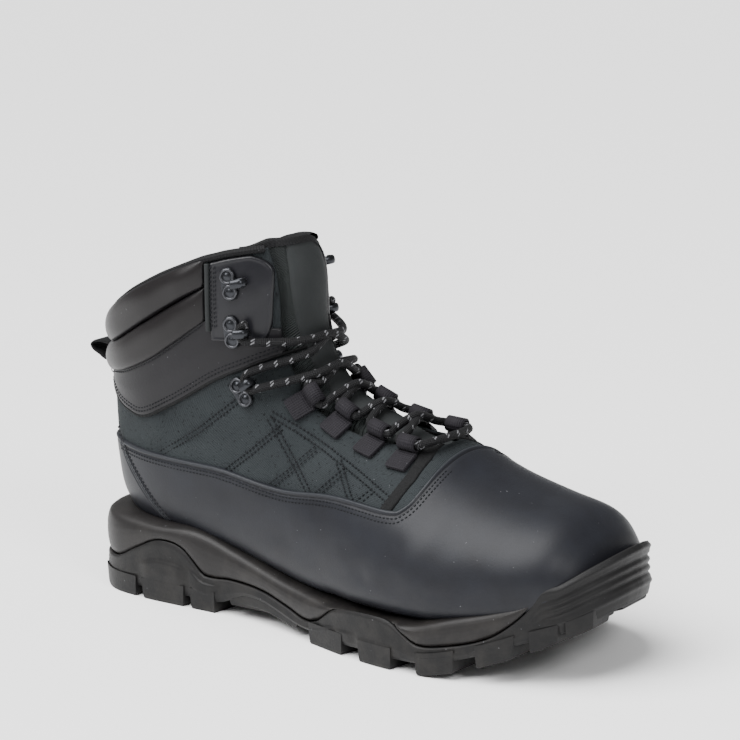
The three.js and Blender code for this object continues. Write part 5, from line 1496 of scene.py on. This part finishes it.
make_upper()
make_rand()
make_band()
make_pad("collar_pad_lower", PAD_LOW, PAD_MID)
make_pad("collar_pad_upper", PAD_MID, COLLAR_LINE)
make_flaps()
make_strips()
make_tongue()
make_collar_binding()
make_pull_loop()
make_lace()
make_outsole()
make_midsole()
make_tread()
make_insole()
make_stitches()
make_piping()
for side_, word_ in SIDES:
    for number, spot_ in enumerate(LOOP_SPOTS):
        make_loop(spot_, side_, f"lace_loop_{word_}_{number + 1}")
    make_hook(ANKLE_SPOT, side_, 0.0, f"ankle_hook_{word_}")
    for number, spot_ in enumerate(HOOK_SPOTS):
        make_hook(spot_, side_, FLAP, f"hook_{word_}_{number + 1}")


# Floor, light and camera

CAMERA_TURN, CAMERA_DISTANCE, CAMERA_LENS = (37.623, 13.256, -1.741), 1.19878, 118.5
CAMERA_TARGET = (151.394, 16.345, 121.105)
FLOOR_HALF = 30


def make_stage():
    """Pale matt floor."""
    floor_material = bpy.data.materials.new("pale_floor")
    floor_material.use_nodes = True
    shader = floor_material.node_tree.nodes["Principled BSDF"]
    shader.inputs["Base Color"].default_value = (0.97, 0.97, 0.97, 1)
    shader.inputs["Roughness"].default_value = 0.9
    mesh = bpy.data.meshes.new("floor")
    corners = [(x * FLOOR_HALF, y * FLOOR_HALF, 0) for x, y in ((-1, -1), (1, -1), (1, 1), (-1, 1))]
    mesh.from_pydata(corners, [], [(0, 1, 2, 3)])
    mesh.materials.append(floor_material)
    floor = bpy.data.objects.new("floor", mesh)
    bpy.context.scene.collection.objects.link(floor)


def make_light(name, place, target, size, power):
    """Round area light aimed at a target."""
    data = bpy.data.lights.new(name, "AREA")
    data.shape, data.size, data.energy = "DISK", size, power
    light = bpy.data.objects.new(name, data)
    light.location = place
    direction = Vector(target) - Vector(place)
    light.rotation_mode = "QUATERNION"
    light.rotation_quaternion = direction.to_track_quat("-Z", "Y")
    bpy.context.scene.collection.objects.link(light)


def make_sun(name, place, strength, spread):
    """Broad soft light from one direction."""
    data = bpy.data.lights.new(name, "SUN")
    data.energy, data.angle = strength, math.radians(spread)
    light = bpy.data.objects.new(name, data)
    light.rotation_mode = "QUATERNION"
    light.rotation_quaternion = (-Vector(place)).to_track_quat("-Z", "Y")
    bpy.context.scene.collection.objects.link(light)


def make_camera():
    """Camera at the picture's angle, with a slight roll."""
    azimuth, elevation, roll = map(math.radians, CAMERA_TURN)
    back = Vector((math.sin(azimuth) * math.cos(elevation), -math.cos(azimuth) * math.cos(elevation),
                   math.sin(elevation)))
    right = Vector((math.cos(azimuth), math.sin(azimuth), 0))
    up = back.cross(right)
    across = right * math.cos(roll) + up * math.sin(roll)
    upward = up * math.cos(roll) - right * math.sin(roll)
    data = bpy.data.cameras.new("camera")
    data.lens, data.sensor_width = CAMERA_LENS, 36.0
    camera = bpy.data.objects.new("camera", data)
    target = Vector(((np.array(CAMERA_TARGET) + SHIFT) / 1000).tolist())
    turn = Matrix((across, upward, back)).transposed()
    camera.matrix_world = Matrix.Translation(target + back * CAMERA_DISTANCE) @ turn.to_4x4()
    bpy.context.scene.collection.objects.link(camera)
    bpy.context.scene.camera = camera


def make_world():
    """Even white surroundings."""
    world = bpy.data.worlds.new("studio")
    world.use_nodes = True
    background = world.node_tree.nodes["Background"]
    background.inputs["Color"].default_value = (1, 1, 1, 1)
    background.inputs["Strength"].default_value = 0.36
    bpy.context.scene.world = world


make_stage()
make_world()
make_sun("sky", (-0.25, -0.35, 1.0), 6.4, 55)
make_light("key", (-0.5, -1.2, 1.1), (-0.08, 0, 0.12), 0.7, 12)
make_light("front", (1.3, -0.5, 1.1), (0.08, 0, 0.08), 0.6, 12)
make_camera()
